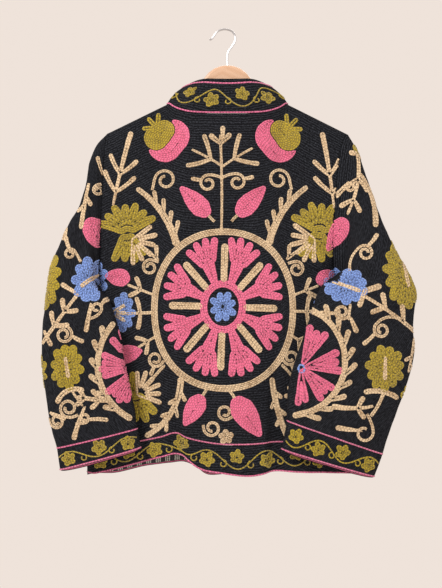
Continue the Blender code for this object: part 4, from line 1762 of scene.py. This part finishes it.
@dataclass(frozen=True)
class WireFinish:
    """Drawn steel wire."""

    @cache
    def material(self) -> Material:
        """The wire's material.

        Returns:
            The new material, or the same one again.
        """
        g = Graph("drawn_steel", Metallic=1.0)
        x, y, z = g.places("Object")
        fine = g.noise(x * 900.0, y * 900.0, z * 260.0, detail=3.0)
        g.feed("Base Color", g.mix(fine, (0.62, 0.62, 0.63, 1.0), (0.40, 0.40, 0.42, 1.0)))
        g.feed("Roughness", (fine * 0.2 + 0.2).clamp())
        g.bump(fine, 0.15, 0.0002)
        return g.material


def dress(piece: Piece) -> Piece:
    """Rides a piece on the one body."""
    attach(piece, "root")
    log.info("%s: %d faces", piece.name, len(piece.data.polygons))
    return piece


def embroider(name: str, rows: list[StitchRow], lay: Lay) -> list[Piece]:
    """The embroidery of a panel, one piece for each thread.

    Args:
        name: The panel's name.
        rows: The rows on its flat cloth.
        lay: The hanging cloth.

    Returns:
        The new pieces.
    """
    maker = RowMesh()
    ribbons = maker.ribbons(rows, lay)
    made = []
    for thread, finish in THREADS.items():
        own = [ribbon for ribbon in ribbons if ribbon[2].thread is thread]
        if own:
            piece = maker.build(f"{name}_{thread.value}_stitches", own, finish.material())
            made.append(dress(piece))
    return made


@dataclass
class Sheet:
    """A sheet of cloth, whose rows of points are rings where closed is true.

    Attributes:
        points: Its outer face, in millimetres.
        normals: Outward directions.
        uv: The weave's places, in millimetres.
    """

    points: Array
    normals: Array
    uv: Array
    closed: bool = False
    finish: ClothFinish | TapeFinish = ClothFinish()
    thickness: float = CLOTH
    slot: str = "black_cloth"

    def __post_init__(self) -> None:
        """Closes the rings."""
        if self.closed:
            self.points = np.concatenate([self.points, self.points[:, :1]], axis=1)
            self.normals = np.concatenate([self.normals, self.normals[:, :1]], axis=1)
            turn = self.uv[:, -1:] + (self.uv[:, -1:] - self.uv[:, -2:-1])
            self.uv = np.concatenate([self.uv, turn], axis=1)

    def wall(self, name: str) -> Piece:
        """The sheet as a thin wall inside its outer face.

        Args:
            name: The new object's name.

        Returns:
            The new object.
        """
        rows, columns = self.points.shape[:2]
        bm = bmesh.new()
        bmesh.ops.create_grid(bm, x_segments=columns - 1, y_segments=rows - 1, size=0.5)
        layer = bm.loops.layers.uv.new("UVMap")
        places = self.uv.reshape(-1, 2).tolist()
        for face in bm.faces:
            for loop in face.loops:
                loop[layer].uv = places[loop.vert.index]
        place = bm.verts.layers.int.new("place")
        for number, (vert, point) in enumerate(zip(bm.verts, (self.points.reshape(-1, 3) * MM).tolist())):
            vert.co = point
            vert[place] = number
        if self.closed:
            bmesh.ops.remove_doubles(bm, verts=bm.verts, dist=1e-6)
        inner = ((self.points - self.thickness * self.normals).reshape(-1, 3) * MM).tolist()
        for part in bmesh.ops.extrude_face_region(bm, geom=bm.faces[:], use_keep_orig=True)["geom"]:
            if isinstance(part, bmesh.types.BMVert):
                part.co = inner[part[place]]
        bm.verts.layers.int.remove(place)
        bmesh.ops.recalc_face_normals(bm, faces=bm.faces)
        return finished(name, bm, self.finish.material())

    def cut(self) -> tuple[Pair, float]:
        """The size of its flat cut.

        Returns:
            Its width and length, and its area, in metres.
        """
        across = self.points[:-1, 1:] - self.points[:-1, :-1]
        down = self.points[1:, :-1] - self.points[:-1, :-1]
        area = np.linalg.norm(np.cross(across, down), axis=2).sum() * MM * MM
        width, length = (
            float(np.linalg.norm(np.diff(self.points, axis=1 - axis), axis=2).sum(axis=1 - axis).max() * MM)
            for axis in (0, 1)
        )
        return (round(width, 3), round(length, 3)), float(area)

    def clad(self, name: str, stitches: Sequence[Piece] = ()) -> None:
        """Puts the sheet in place of its solid and says what its flat cut is.

        Args:
            name: The solid's name.
            stitches: Its embroidery; not used.
        """
        piece = dress(self.wall(f"{name}_cloth"))
        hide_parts(name)
        flat, area = self.cut()
        area = min(area, flat[0] * flat[1])
        log.info("%s: cut %.3f by %.3f m, %.4f m2", piece.name, flat[0], flat[1], area)


def seamed(
    parts: tuple[tuple[str, str], ...], points: Array, normals: Array, seam: int, ahead: Array,
    sides: tuple[tuple[str, slice | Array, Array], ...], rows: list[StitchRow], closed: bool,
) -> None:
    """Builds the two pieces that a seam joins, with their embroidery.

    Args:
        parts: Each piece's solid and the one that it rests on.
        points: The points of both.
        normals: Their outward directions.
        seam: The row on the seam.
        ahead: The way across the seam.
        sides: For each side, the end of its name, its columns and its flat places.
        rows: The rows of stitches.
        closed: Whether each row of points is a ring.
    """
    uv = np.stack([distance_along(points, 1), distance_along(points, 0)], -1)
    spans = ((slice(0, seam + 1), -1, -SEAM_GAP / 2), (slice(seam, None), 0, SEAM_GAP / 2))
    for (name, rests_on), (span, edge, gap) in zip(parts, spans):
        own, facing = points[span].copy(), normals[span]
        own[edge] += ahead * gap
        stitches = []
        for word, picked, flat in sides:
            lay = Lay(flat[span], own[:, picked], facing[:, picked])
            stitches += embroider(name + word, rows, lay)
        Sheet(own, facing, uv[span], closed).clad(name, stitches)


@dataclass(frozen=True)
class FacingTape:
    """A tape inside an edge.

    Attributes:
        inset: How far it stands back from the edge.
        behind: How far it lies behind the cloth's outer face.
        rows: The rows of its grid.
    """

    height: float = 14.0
    inset: float = 1.5
    behind: float = 2.0 + SEAM_GAP
    thickness: float = 0.9
    rows: int = 5

    def build(self, name: str, edge: Array, normals: Array, up: Array, closed: bool, rests_on: str) -> None:
        """Builds the tape.

        Args:
            name: The solid's name.
            edge: The edge's points.
            normals: Outward directions there.
            up: The way from the edge to the tape.
            closed: Whether it is a ring.
            rests_on: The solid that it rests on; not used.
        """
        height = np.linspace(self.inset + self.height, self.inset, self.rows)[:, None, None]
        inset = np.broadcast_to(normals, (self.rows, *normals.shape))
        points = edge + up * height - self.behind * inset
        uv = np.stack([distance_along(points, 1), self.height - distance_along(points, 0)], -1)
        sheet = Sheet(points, inset, uv, closed, TapeFinish(), self.thickness, "facing_tape")
        sheet.clad(name)


# The plans


@dataclass
class Rosette:
    """The great rosette in its ring, a little taller than wide.

    Attributes:
        hub: The radius of the pink circle's middle line.
        bars: The radii at which the eight bars start and end, with their half width in bar.
        lobes: The angles of a fan's lobes from its middle, with their radii.
        shape: Its width and height against a circle's.
        ring: The half width and half height of the ring's middle line.
        ring_power: Below 1 the ring is a little squarer than an ellipse.
    """

    hub: float = 34.5
    bars: Pair = (42.0, 90.0)
    bar: float = 5.8
    lobes: tuple[Pair, ...] = ((-14.0, 101.0), (-4.8, 104.0), (4.8, 104.0), (14.0, 101.0))
    shape: Pair = (0.96, 1.13)
    ring: Pair = (118.0, 133.0)
    ring_middle: Point = (1.0, -5.0)
    ring_power: float = 0.92
    ring_rows: int = 4
    ring_step: float = 2.85

    def at(self, radius: float, degrees: float) -> Point:
        """A place of the rosette."""
        across, up = onward((0.0, 0.0), radius, degrees)
        return (across * self.shape[0], up * self.shape[1])

    def fan(self, plan: Plan, middle: float) -> None:
        """Adds a fan of four lobes.

        Args:
            plan: The plan.
            middle: The way to the fan's middle, in degrees.
        """
        strands = [Strand((self.at(40.0, middle), self.at(74.0, middle)), 6.4, 12.5)]
        for turn, radius in self.lobes:
            near = self.at(radius * 0.74, middle + turn * 0.5)
            strands.append(Strand((near, self.at(radius, middle + turn)), 7.8, 6.2))
        plan.patches.append(Patch(Thread.PINK, strands))

    def work(self, plan: Plan, rng: np.random.Generator) -> None:
        """Adds the hub, its flower, the bars, the fans and the ring.

        Args:
            plan: The plan.
            rng: The source of the bars' unevenness.
        """
        circle = tuple(self.at(self.hub, a) for a in range(0, 360, 15))
        plan.patches.append(Patch(Thread.PINK, [Strand(circle, 6.3, 6.3, closed=True)]))
        for number in range(8):
            way = 90.0 - 45.0 * number + rng.normal(0.0, 1.2)
            start, end = (self.at(radius, way) for radius in self.bars)
            plan.patches.append(Patch(Thread.SAND, [Strand((start, end), self.bar, self.bar * 1.1)]))
            self.fan(plan, 90.0 - 45.0 * (number + 0.5))
        tips = [self.at(17.5 + 2.0 * (k % 2), 45 * k + 18) for k in range(8)]
        petals = [Strand(((0.0, 0.0), tip), 8.5, 6.2) for tip in tips]
        plan.patches.append(Patch(Thread.BLUE, petals))
        ring = np.stack(flat_round(np.linspace(0, 2 * math.pi, 60, endpoint=False), self.ring_power), 1)
        for k in range(self.ring_rows):
            grow = (k - (self.ring_rows - 1) / 2) * self.ring_step
            places = self.ring_middle + (np.array(self.ring) + grow) * ring
            plan.trails.append(Trail(Thread.SAND, places.tolist(), 1, closed=True, width=self.ring_step))


PAIRS, ONE_SIDE = Fingers.PAIRS, Fingers.ONE_SIDE
OLIVE, PINK = Thread.OLIVE, Thread.PINK


def petals_of(root: Point, *rows: tuple[float, ...]) -> list[Fan]:
    """Pink petals round a root, from rows of heading, reach, lobes, step, heel and blunt."""
    return [Fan(root, *row, 0.1, PINK, 0) for row in rows]


# The motifs that lie across an armhole's seam, on the sleeve and on the back
SEAM_MOTIFS: dict[Side, list[Motif]] = {
    Side.LEFT: [Blossom((-225, 45), 220, 60, 80, 9, blunt=8.6, bar=30)],
    Side.RIGHT: [
        Bud((210, 150), 240, 65, 32, lift=0.9),
        Blossom((205, 35), 340, 75, 65, 10, blunt=8.8, bar=45),
    ],
}

# The motifs of the back's right half, which its left half repeats, from the neck down
BACK_PAIRS: list[Motif] = [
    Sprig((0, 240), 30, 60, -10, 1, 40, 1, PAIRS, 45, 0.4, thick=(2.3, 2.2), blunt=4.2),
    Pomegranate((90, 285), 45, 31),
    Curl((0, 220), 15, 25, 14, -1.2, 15, -30),
    Bud((25, 155), 45, 70, 34, 15),
    Sprig((80, 110), 55, 115, -40, 4, 25, 1, ONE_SIDE, 35, 0.1, 0.65, (6.4, 4.4), 4),
    Curl((120, 200), 100, 20, 18, 1.25),
    Sprig((190, 170), 100, 130, 5, 2, 40, 1, PAIRS, 40, 0.2, 0.45, (2.2, 4.8), 4.2),
    Fan((165, 125), 85, 50, 7, 21, 11, 6.5, 0.3, OLIVE, 0),
    Fan((165, 130), 265, 50, 4, 21, 11, 6.5, 0.3, OLIVE, 0),
    Fan((155, 115), 205, 40, 6, 25, 3.8, 4.4),
    Sprig((110, 80), 40, 45, 0, 1, 20, 1, ONE_SIDE, 50, 0.1, thick=(2.8, 2.6)),
    Curl((110, 75), 20, 10, 13, -1.35),
    Sprig((120, 20), 20, 45, 0, 1, 20, 1, PAIRS, 50, 0.5, thick=(2.4, 2.4), blunt=4.2),
    Bud((160, 45), 10, 45, 31),
    Blossom((170, -10), 0, 45, 70, 8, blunt=7),
    Fan((190, -10), 180, 25, 3, 30, 3.2, 3.6),
    Sprig((120, -10), 0, 45, 0, 1, 25, 1, PAIRS, 80, 0.5, thick=(2.8, 2.8), blunt=4.2),
    Sprig((115, -50), 330, 35, 0, 1, 20, 1, PAIRS, 50, 0.45, thick=(2.4, 2.4), blunt=4),
    Bud((185, -85), 165, 50, 32),
    Curl((100, -90), 300, 5, 13, 1.35, 15),
    Sprig((100, -100), 310, 50, -10, thick=(2.6, 2.8)),
    Fan((150, -150), 70, 35, 2, 25, 8, 5.5, 0.2, OLIVE, 0),
    Fan((150, -145), 260, 50, 4, 22, 11, 7, 0.3, OLIVE, 0),
    Fan((145, -150), 145, 40, 6, 22, 3.8, 4.2),
]

# The motifs of the back that stand alone
BACK_SINGLE: list[Motif] = [
    Sprig((-5, 130), 90, 165, 5, 1, 20, 1, PAIRS, 50, 0.92, thick=(2.3, 2.4), blunt=4.6),
    Sprig((0, 285), 90, 20, thick=(2.6, 4.6)),
    Sprig((-70, -125), 240, 115, -60, 6, 18, 1, spread=40, first=0.15, last=0.75, thick=(5.8, 4.6)),
    Sprig((80, -125), 285, 95, 15, 5, 16, 1, spread=40, first=0.2, thick=(5.2, 5)),
    Bud((-35, -150), 240, 60, 34, 15),
    Bud((20, -155), 305, 80, 42, 15),
    Curl((15, -185), 215, 5, 13, -1.25),
    Curl((-35, -200), 275, 5, 14, 1.3),
    Blossom((5, -220), 90, 28, 27, 5, Thread.SAND, 5.4),
]

LEFT_SLEEVE: list[Motif] = [
    Sprig((-205, 220), 105, 35, thick=(2, 3.6)),
    Curl((-205, 210), 200, 15, 8, 1.2, bend=60),
    Sprig((-230, 210), 260, 75, 5, 2, 16, 1, spread=40, first=0.3, last=0.5, thick=(2.8, 4.2)),
    Sprig((-265, 130), 260, 15, thick=(3, 4.6)),
    Bud((-230, 150), 295, 60, 36),
    Curl((-240, 75), 120, 20, 9, 1.3, 20),
    Blossom((-305, 50), 260, 70, 120, 13, OLIVE, 8),
    Sprig((-300, -60), 55, 100, 0, 2, 22, 1, PAIRS, 50, 0.35, 0.65, (3.4, 3), 4.4),
    Sprig((-245, 25), 150, 25, thick=(3, 4.4)),
    Curl((-280, -30), 355, 25, 14, -1.4, 20, -60),
    Sprig((-300, -40), 300, 25, thick=(3, 4.2)),
    Sprig((-220, 5), 260, 45, thick=(2.6, 4.4)),
    Curl((-225, -20), 30, 25, 9, 1, 15, 60),
    Sprig((-155, -185), 100, 180, -100, 6, 20, 1, ONE_SIDE, 35, 0.14, 0.85, (5.2, 5), 4.8),
    *petals_of((-145, -100), (125, 65, 2, 14, 3, 6.4), (175, 55, 4, 12, 3.2, 6.2), (235, 60, 4, 11, 3, 6.2)),
    Blossom((-260, -100), 280, 60, 80, 10, OLIVE, 7.6, 30),
    Blossom((-305, -110), 90, 25, 60, 7, OLIVE, 5.4),
    Sprig((-275, -155), 25, 50, -90, thick=(4.4, 4.2)),
    Sprig((-250, -140), 305, 30, thick=(2.2, 2.2)),
    Sprig((-190, -155), 175, 50, -10, 2, 18, 1, PAIRS, 50, 0.3, 0.8, (4.6, 3.4), 4.2),
    Sprig((-230, -165), 250, 55, 10, thick=(2.3, 4.8)),
    Curl((-240, -180), 195, 15, 15, -1.35, bend=-30),
    Curl((-245, -195), 5, 15, 8, 1.2, 30),
    Sprig((-290, -175), 340, 25, thick=(3, 4.4)),
    Curl((-290, -185), 280, 10, 12, 1.4, bend=40),
]

RIGHT_SLEEVE: list[Motif] = [
    Bud((225, 285), 295, 25, 15, thread=OLIVE),
    Sprig((240, 260), 170, 20, thick=(3.6, 4.8)),
    Sprig((230, 260), 260, 105, -30, 2, 25, -1, PAIRS, 45, 0.4, 0.75, (3.6, 2.4), 4.2),
    Sprig((235, 225), 285, 90, -40, thick=(3.2, 5.4)),
    Sprig((195, 190), 45, 30, thick=(4.6, 3.2)),
    Curl((215, 210), 30, 0, 6, -1, inner=0.9),
    Curl((210, 60), 65, 45, 13, -1.4, 25, -50),
    Sprig((235, 25), 15, 25, thick=(4.6, 5)),
    Sprig((235, 25), 250, 25, thick=(4, 4.6)),
    Sprig((320, -40), 145, 110, 10, 2, 26, -1, ONE_SIDE, 50, 0.25, 0.6, (3.4, 3), 4.6),
    Sprig((270, 0), 200, 25, thick=(3.4, 4.6)),
    Curl((295, -20), 190, 45, 13, 1.35, 25, 80),
    Sprig((210, 5), 265, 25, thick=(2.3, 2.4)),
    Sprig((210, -15), 295, 25, thick=(2.6, 4.6)),
    Curl((210, -15), 200, 15, 11, -1.4, 25, -60),
    Blossom((305, 60), 280, 80, 130, 14, OLIVE, 8, 50),
    Sprig((320, -50), 260, 60, 0, 3, 12, 1, spread=60, thick=(2.6, 2.6)),
    Sprig((120, -180), 80, 240, 150, 9, 26, -1, ONE_SIDE, 35, 0.06, 0.85, (5.4, 4.8), 4.8),
    *petals_of(
        (130, -100), (65, 65, 3, 12, 3, 6.6), (10, 60, 3, 14, 3, 6.8), (315, 60, 3, 12, 3, 6.4),
        (270, 60, 2, 12, 2.8, 6),
    ),
    Blossom((130, -100), 0, 16, 18, 6, blunt=4.2),
    Blossom((270, -100), 270, 70, 80, 11, OLIVE, 7.6, 35),
    Sprig((235, -140), 350, 55, -45, thick=(4.6, 4.2)),
    Sprig((265, -145), 240, 40, -20, thick=(3.2, 3)),
    Sprig((185, -165), 0, 65, 20, 1, 18, 1, PAIRS, 60, 0.6, thick=(4.8, 2.4), blunt=4.4),
    Curl((240, -175), 290, 30, 15, -0.9, bend=-20, inner=0.45),
    Sprig((230, -205), 175, 40, thick=(2.4, 4.8)),
    Blossom((305, -155), 90, 20, 50, 6, OLIVE, 5),
    Sprig((285, -200), 255, 30, -30, thick=(3, 3)),
]


def plan_of(singles: Iterable[Motif], pairs: Iterable[Motif] = (), seed: int = 3) -> Plan:
    """The plan of some motifs.

    Args:
        singles: Motifs that stand alone.
        pairs: Motifs of the right half, which the left half repeats.
        seed: The seed of the hand work's unevenness.

    Returns:
        The plan.
    """
    rng = np.random.default_rng(seed)
    plan = Plan()
    for motif in [*singles, *(one for pair in pairs for one in (pair, pair.mirrored()))]:
        motif.by_hand(rng).work(plan)
    return plan


def back_plan() -> Plan:
    """The plan of the back, which the fronts repeat."""
    plan = plan_of(BACK_SINGLE, BACK_PAIRS)
    Rosette().work(plan, np.random.default_rng(8))
    for motif in SEAM_MOTIFS[Side.LEFT] + SEAM_MOTIFS[Side.RIGHT]:
        motif.work(plan)
    return plan


def sleeve_plan(side: Side) -> Plan:
    """The plan of a sleeve."""
    plan = plan_of(LEFT_SLEEVE if side is Side.LEFT else RIGHT_SLEEVE, seed=12 + side.value)
    for motif in SEAM_MOTIFS[side]:
        motif.work(plan)
    return plan


# Sub-assemblies


def seam_row_on(flat: Array, aside: float) -> StitchRow:
    """A row that follows a line on the flat cloth, a little to its side.

    Args:
        flat: The line.
        aside: How far to the side, in millimetres.

    Returns:
        The row.
    """
    line = beside(flat[np.concatenate([[True], np.linalg.norm(np.diff(flat, axis=0), axis=1) > 0.01])], aside)
    along = run_of(line)
    at = np.linspace(0, along[-1], max(int(along[-1] / SEAM_STEP), 3))
    return StitchRow(Thread.ROSE, read(line, along, at), 0.1, True, SEAM_ROW)


@dataclass
class Body:
    """Back, fronts, their hem bands and the tape inside the left front's hem.

    The opening is half the gap between the fronts at the top and at the foot.
    """

    plan: Plan
    opening: Pair = (5.0, 10.0)
    eased: float = 48.0

    def build_back(self) -> None:
        """The back and its hem band."""
        points, normals, seam = BodyForm(Half.BACK, BACK_HEM, BACK_CREASES).hang()
        self.panel_and_band("back_panel", "back_hem_band", points, normals, seam)

    def panel_and_band(
        self, name: str, band_name: str, points: Array, normals: Array, seam: int, seed: int = 5
    ) -> None:
        """A panel and the band below it, with their embroidery.

        Args:
            name: The panel's solid.
            band_name: The band's solid.
            points: The points of both.
            normals: Their outward directions.
            seam: The row on the seam between them.
            seed: The seed of the stitches' unevenness.
        """
        flat = points[..., [0, 2]]
        stitcher = Stitcher(Lay(flat, points, normals), seed=seed)
        line, foot = flat[seam], flat[-1]
        rows = stitcher.work(self.plan) + HEM_VINE.rows(stitcher, line, foot)
        rows += [seam_row_on(line, 1.7), seam_row_on(foot, 1.4)]
        parts = ((name, "wooden_hanger"), (band_name, "wooden_hanger"))
        sides = (("", slice(None), flat),)
        seamed(parts, points, normals, seam, np.array([0.0, 0.0, -1.0]), sides, rows, False)

    def build_fronts(self) -> None:
        """Both fronts, their hem bands and the facing tape."""
        points, normals, seam = BodyForm(Half.FRONT, FRONT_HEM, FRONT_CREASES).hang()
        centre = int(np.argmin(np.abs(points[0, :, 0] - SHIFT[0])))
        depth = np.linspace(0, 1, len(points))
        half_gap = self.opening[0] + (self.opening[1] - self.opening[0]) * depth
        for side in Side:
            picked = slice(0, centre + 1) if side is Side.LEFT else slice(centre, None)
            own, facing = points[:, picked].copy(), normals[:, picked]
            away = np.abs(own[..., 0] - SHIFT[0])
            away[:, -1 if side is Side.LEFT else 0] = 0.0
            drawn = half_gap[:, None] + away * (self.eased - half_gap[:, None]) / self.eased
            own[..., 0] = SHIFT[0] + side.value * np.where(away < self.eased, drawn, away)
            name = f"{side.word}_front"
            band_name = f"{name}_hem_band"
            self.panel_and_band(name, band_name, own, facing, seam, 9 + side.value)
            if side is Side.LEFT:
                tape, up = f"{name}_facing_tape", np.array([0.0, 0.0, 1.0])
                FacingTape().build(tape, own[-1, 3:], facing[-1, 3:], up, False, band_name)


@dataclass
class Sleeve:
    """A sleeve with its cuff band and the tape inside the cuff."""

    side: Side
    creases: list[Crease]

    def build(self) -> None:
        """Builds the sleeve's pieces, with the same embroidery on its near and far sides."""
        form = SleeveForm(self.side, self.creases)
        points, normals, (near_flat, far_flat), seam = form.hang()
        half = form.around // 2
        near = slice(0, half + 1)
        far = np.concatenate([[0], np.arange(form.around - 1, half - 1, -1)])
        ahead = (points[seam + 1] - points[seam]).mean(axis=0)
        ahead /= np.linalg.norm(ahead)
        stitcher = Stitcher(Lay(near_flat, points[:, near], normals[:, near]), seed=21)
        cuff_line, end_line = near_flat[seam], near_flat[-1]
        rows = stitcher.work(sleeve_plan(self.side)) + CUFF_VINE.rows(stitcher, cuff_line, end_line)
        turn = 1.0 if self.side is Side.LEFT else -1.0
        rows += [seam_row_on(cuff_line, turn * 1.7), seam_row_on(end_line, turn * 1.4)]
        sleeve, cuff = f"{self.side.word}_sleeve", f"{self.side.word}_cuff_band"
        parts = ((sleeve, "back_panel"), (cuff, sleeve))
        sides = (("", near, near_flat), ("_far", far, far_flat))
        seamed(parts, points, normals, seam, ahead, sides, rows, True)
        up = unit(points[-4] - points[-1])
        tape = f"{self.side.word}_cuff_facing_tape"
        FacingTape().build(tape, points[-1], normals[-1], up, True, cuff)


@dataclass
class Collar:
    """The stand collar with its vine, whose upper pink row lies below the top edge."""

    row_inset: float = 8.0

    def build(self) -> None:
        """Builds the collar."""
        points, normals, flat = CollarForm().hang()
        lay = Lay(flat, points, normals)
        top = flat[0] - [0.0, self.row_inset]
        rows = COLLAR_VINE.rows(Stitcher(lay, seed=17), top, flat[-1])
        rows += [seam_row_on(top, 0.0), seam_row_on(flat[-1], 2.0)]
        Sheet(points, normals, flat * [1, -1]).clad("collar", embroider("collar", rows, lay))


@dataclass
class Hanger:
    """The wooden hanger and its wire hook, whose solids stay and get better materials."""

    wood: WoodFinish = WoodFinish()
    wire: WireFinish = WireFinish()

    def build(self) -> None:
        """Puts the materials on the solids."""
        for name, finish in (("wooden_hanger", self.wood), ("hanger_hook", self.wire)):
            for slot in bpy.data.objects[name].material_slots:
                slot.material = finish.material()
            log.info("%s: %s", name, finish.material().name)


@dataclass
class Studio:
    """Floor, light and camera, with places in metres."""

    floor_z: float = -1.85
    eye: tuple[float, float, float] = (-0.00255, -1.53, -0.4573)
    lens: float = 54.0
    pale: tuple = (0.862, 0.766, 0.70, 1.0)
    glow: float = 1.0
    target: tuple[float, float, float] = (0.0, 0.0, -0.45)
    # Name, place, length of the sides, watts and colour of each square lamp
    lamps: tuple = (
        ("key", (-1.3, -1.9, 1.1), 0.8, 62, (1.0, 0.97, 0.93)),
        ("fill", (1.5, -1.7, -0.1), 1.5, 10, (1.0, 0.98, 0.96)),
        ("rear", (0.4, 2.2, 0.8), 1.6, 22, (1.0, 0.97, 0.94)),
    )

    def floor(self) -> None:
        """A plain pale floor."""
        bm = bmesh.new()
        bmesh.ops.create_grid(bm, x_segments=2, y_segments=2, size=2.1)
        bmesh.ops.translate(bm, verts=bm.verts, vec=(0.0, 0.0, self.floor_z))
        g = Graph("pale_floor", Roughness=0.9)
        x, y, _ = g.places("Object")
        speck = g.noise(x * 3.0, y * 3.0)
        g.feed("Base Color", g.mix(speck, self.pale, (0.77, 0.725, 0.68, 1.0)))
        finished("floor", bm, g.material)

    def build(self) -> None:
        """Makes floor, world, lamps and camera."""
        self.floor()
        world = bpy.data.worlds.new("pale_room")
        world.use_nodes = True
        ground = world.node_tree.nodes["Background"]
        ground.inputs[0].default_value = self.pale
        ground.inputs[1].default_value = self.glow
        bpy.context.scene.world = world
        for name, place, size, power, colour in self.lamps:
            light = bpy.data.lights.new(name, "AREA")
            light.shape = "SQUARE"
            light.size, light.energy, light.color = size, power, colour
            lamp = bpy.data.objects.new(name, light)
            lamp.location = place
            lamp.rotation_euler = (Vector(self.target) - Vector(place)).to_track_quat("-Z", "Y").to_euler()
            bpy.context.scene.collection.objects.link(lamp)
        camera = bpy.data.objects.new("camera", bpy.data.cameras.new("camera"))
        camera.data.lens = self.lens
        camera.data.sensor_width = 36.0
        camera.location = self.eye
        camera.rotation_euler = (math.pi / 2, 0.0, 0.0)
        bpy.context.scene.collection.objects.link(camera)
        bpy.context.scene.camera = camera
        bpy.context.scene.view_settings.view_transform = "Standard"


BACK_CREASES = [
    Crease((70, -470), (60, -770), 16, 4.5, 8),
    Crease((-78, -590), (-70, -760), 12, 3.5, -4),
    Crease((30, -560), (20, -770), 18, 2.6, -6),
    Crease((-30, -620), (-34, -770), 15, 2.2, 5),
    Crease((-110, -430), (-95, -700), 18, -2.4, 9),
    Crease((112, -400), (125, -720), 18, -2.4, -8),
    Crease((-185, -230), (-110, -330), 13, 2.6, 6),
    Crease((190, -240), (110, -350), 13, 2.6, -6),
    Crease((-60, -160), (-120, -260), 12, 1.6, 4),
    Crease((80, -165), (135, -270), 12, 1.6, -4),
    Crease((-10, -180), (10, -330), 16, -1.5, 3),
    Crease((-195, -330), (-120, -420), 12, -2.0, 6),
    Crease((185, -340), (120, -430), 12, -2.0, -6),
]
FRONT_CREASES = [
    Crease((-60, -300), (-75, -760), 18, 3.2, 8),
    Crease((75, -320), (90, -750), 18, 3.0, -8),
    Crease((-130, -250), (-120, -600), 16, -2.4, 6),
    Crease((140, -260), (128, -620), 16, -2.4, -6),
    Crease((-180, -240), (-100, -340), 13, 2.4, 6),
    Crease((190, -245), (105, -345), 13, 2.4, -6),
    Crease((-30, -420), (-34, -760), 13, -1.8, 4),
    Crease((40, -430), (48, -750), 13, -1.8, -4),
]
LEFT_CREASES = [
    Crease((-228, -300), (-250, -420), 12, 3.2, -6),
    Crease((-205, -455), (-285, -490), 11, -2.6, 5),
    Crease((-195, -490), (-280, -545), 13, 3.0, 6),
    Crease((-215, -430), (-285, -440), 10, 2.4, 4),
    Crease((-180, -560), (-262, -600), 12, -2.2, 5),
    Crease((-170, -620), (-235, -690), 12, 2.4, 6),
    Crease((-285, -600), (-262, -700), 12, -1.8, 4),
]
RIGHT_CREASES = [
    Crease((235, -280), (258, -400), 12, 3.2, 6),
    Crease((170, -440), (262, -420), 11, 2.6, -5),
    Crease((165, -465), (275, -485), 12, -2.6, -5),
    Crease((150, -500), (270, -545), 13, 3.0, -6),
    Crease((130, -575), (235, -590), 12, -2.0, -5),
    Crease((120, -640), (200, -690), 12, 2.4, -6),
    Crease((255, -570), (230, -680), 12, -1.8, -4),
]


def main() -> None:
    """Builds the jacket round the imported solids."""
    logging.basicConfig(level=logging.INFO, format="%(message)s")
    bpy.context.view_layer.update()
    Studio().build()
    body = Body(back_plan())
    body.build_back()
    body.build_fronts()
    Sleeve(Side.LEFT, LEFT_CREASES).build()
    Sleeve(Side.RIGHT, RIGHT_CREASES).build()
    Collar().build()
    Hanger().build()
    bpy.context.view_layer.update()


if __name__ == "__main__":
    main()
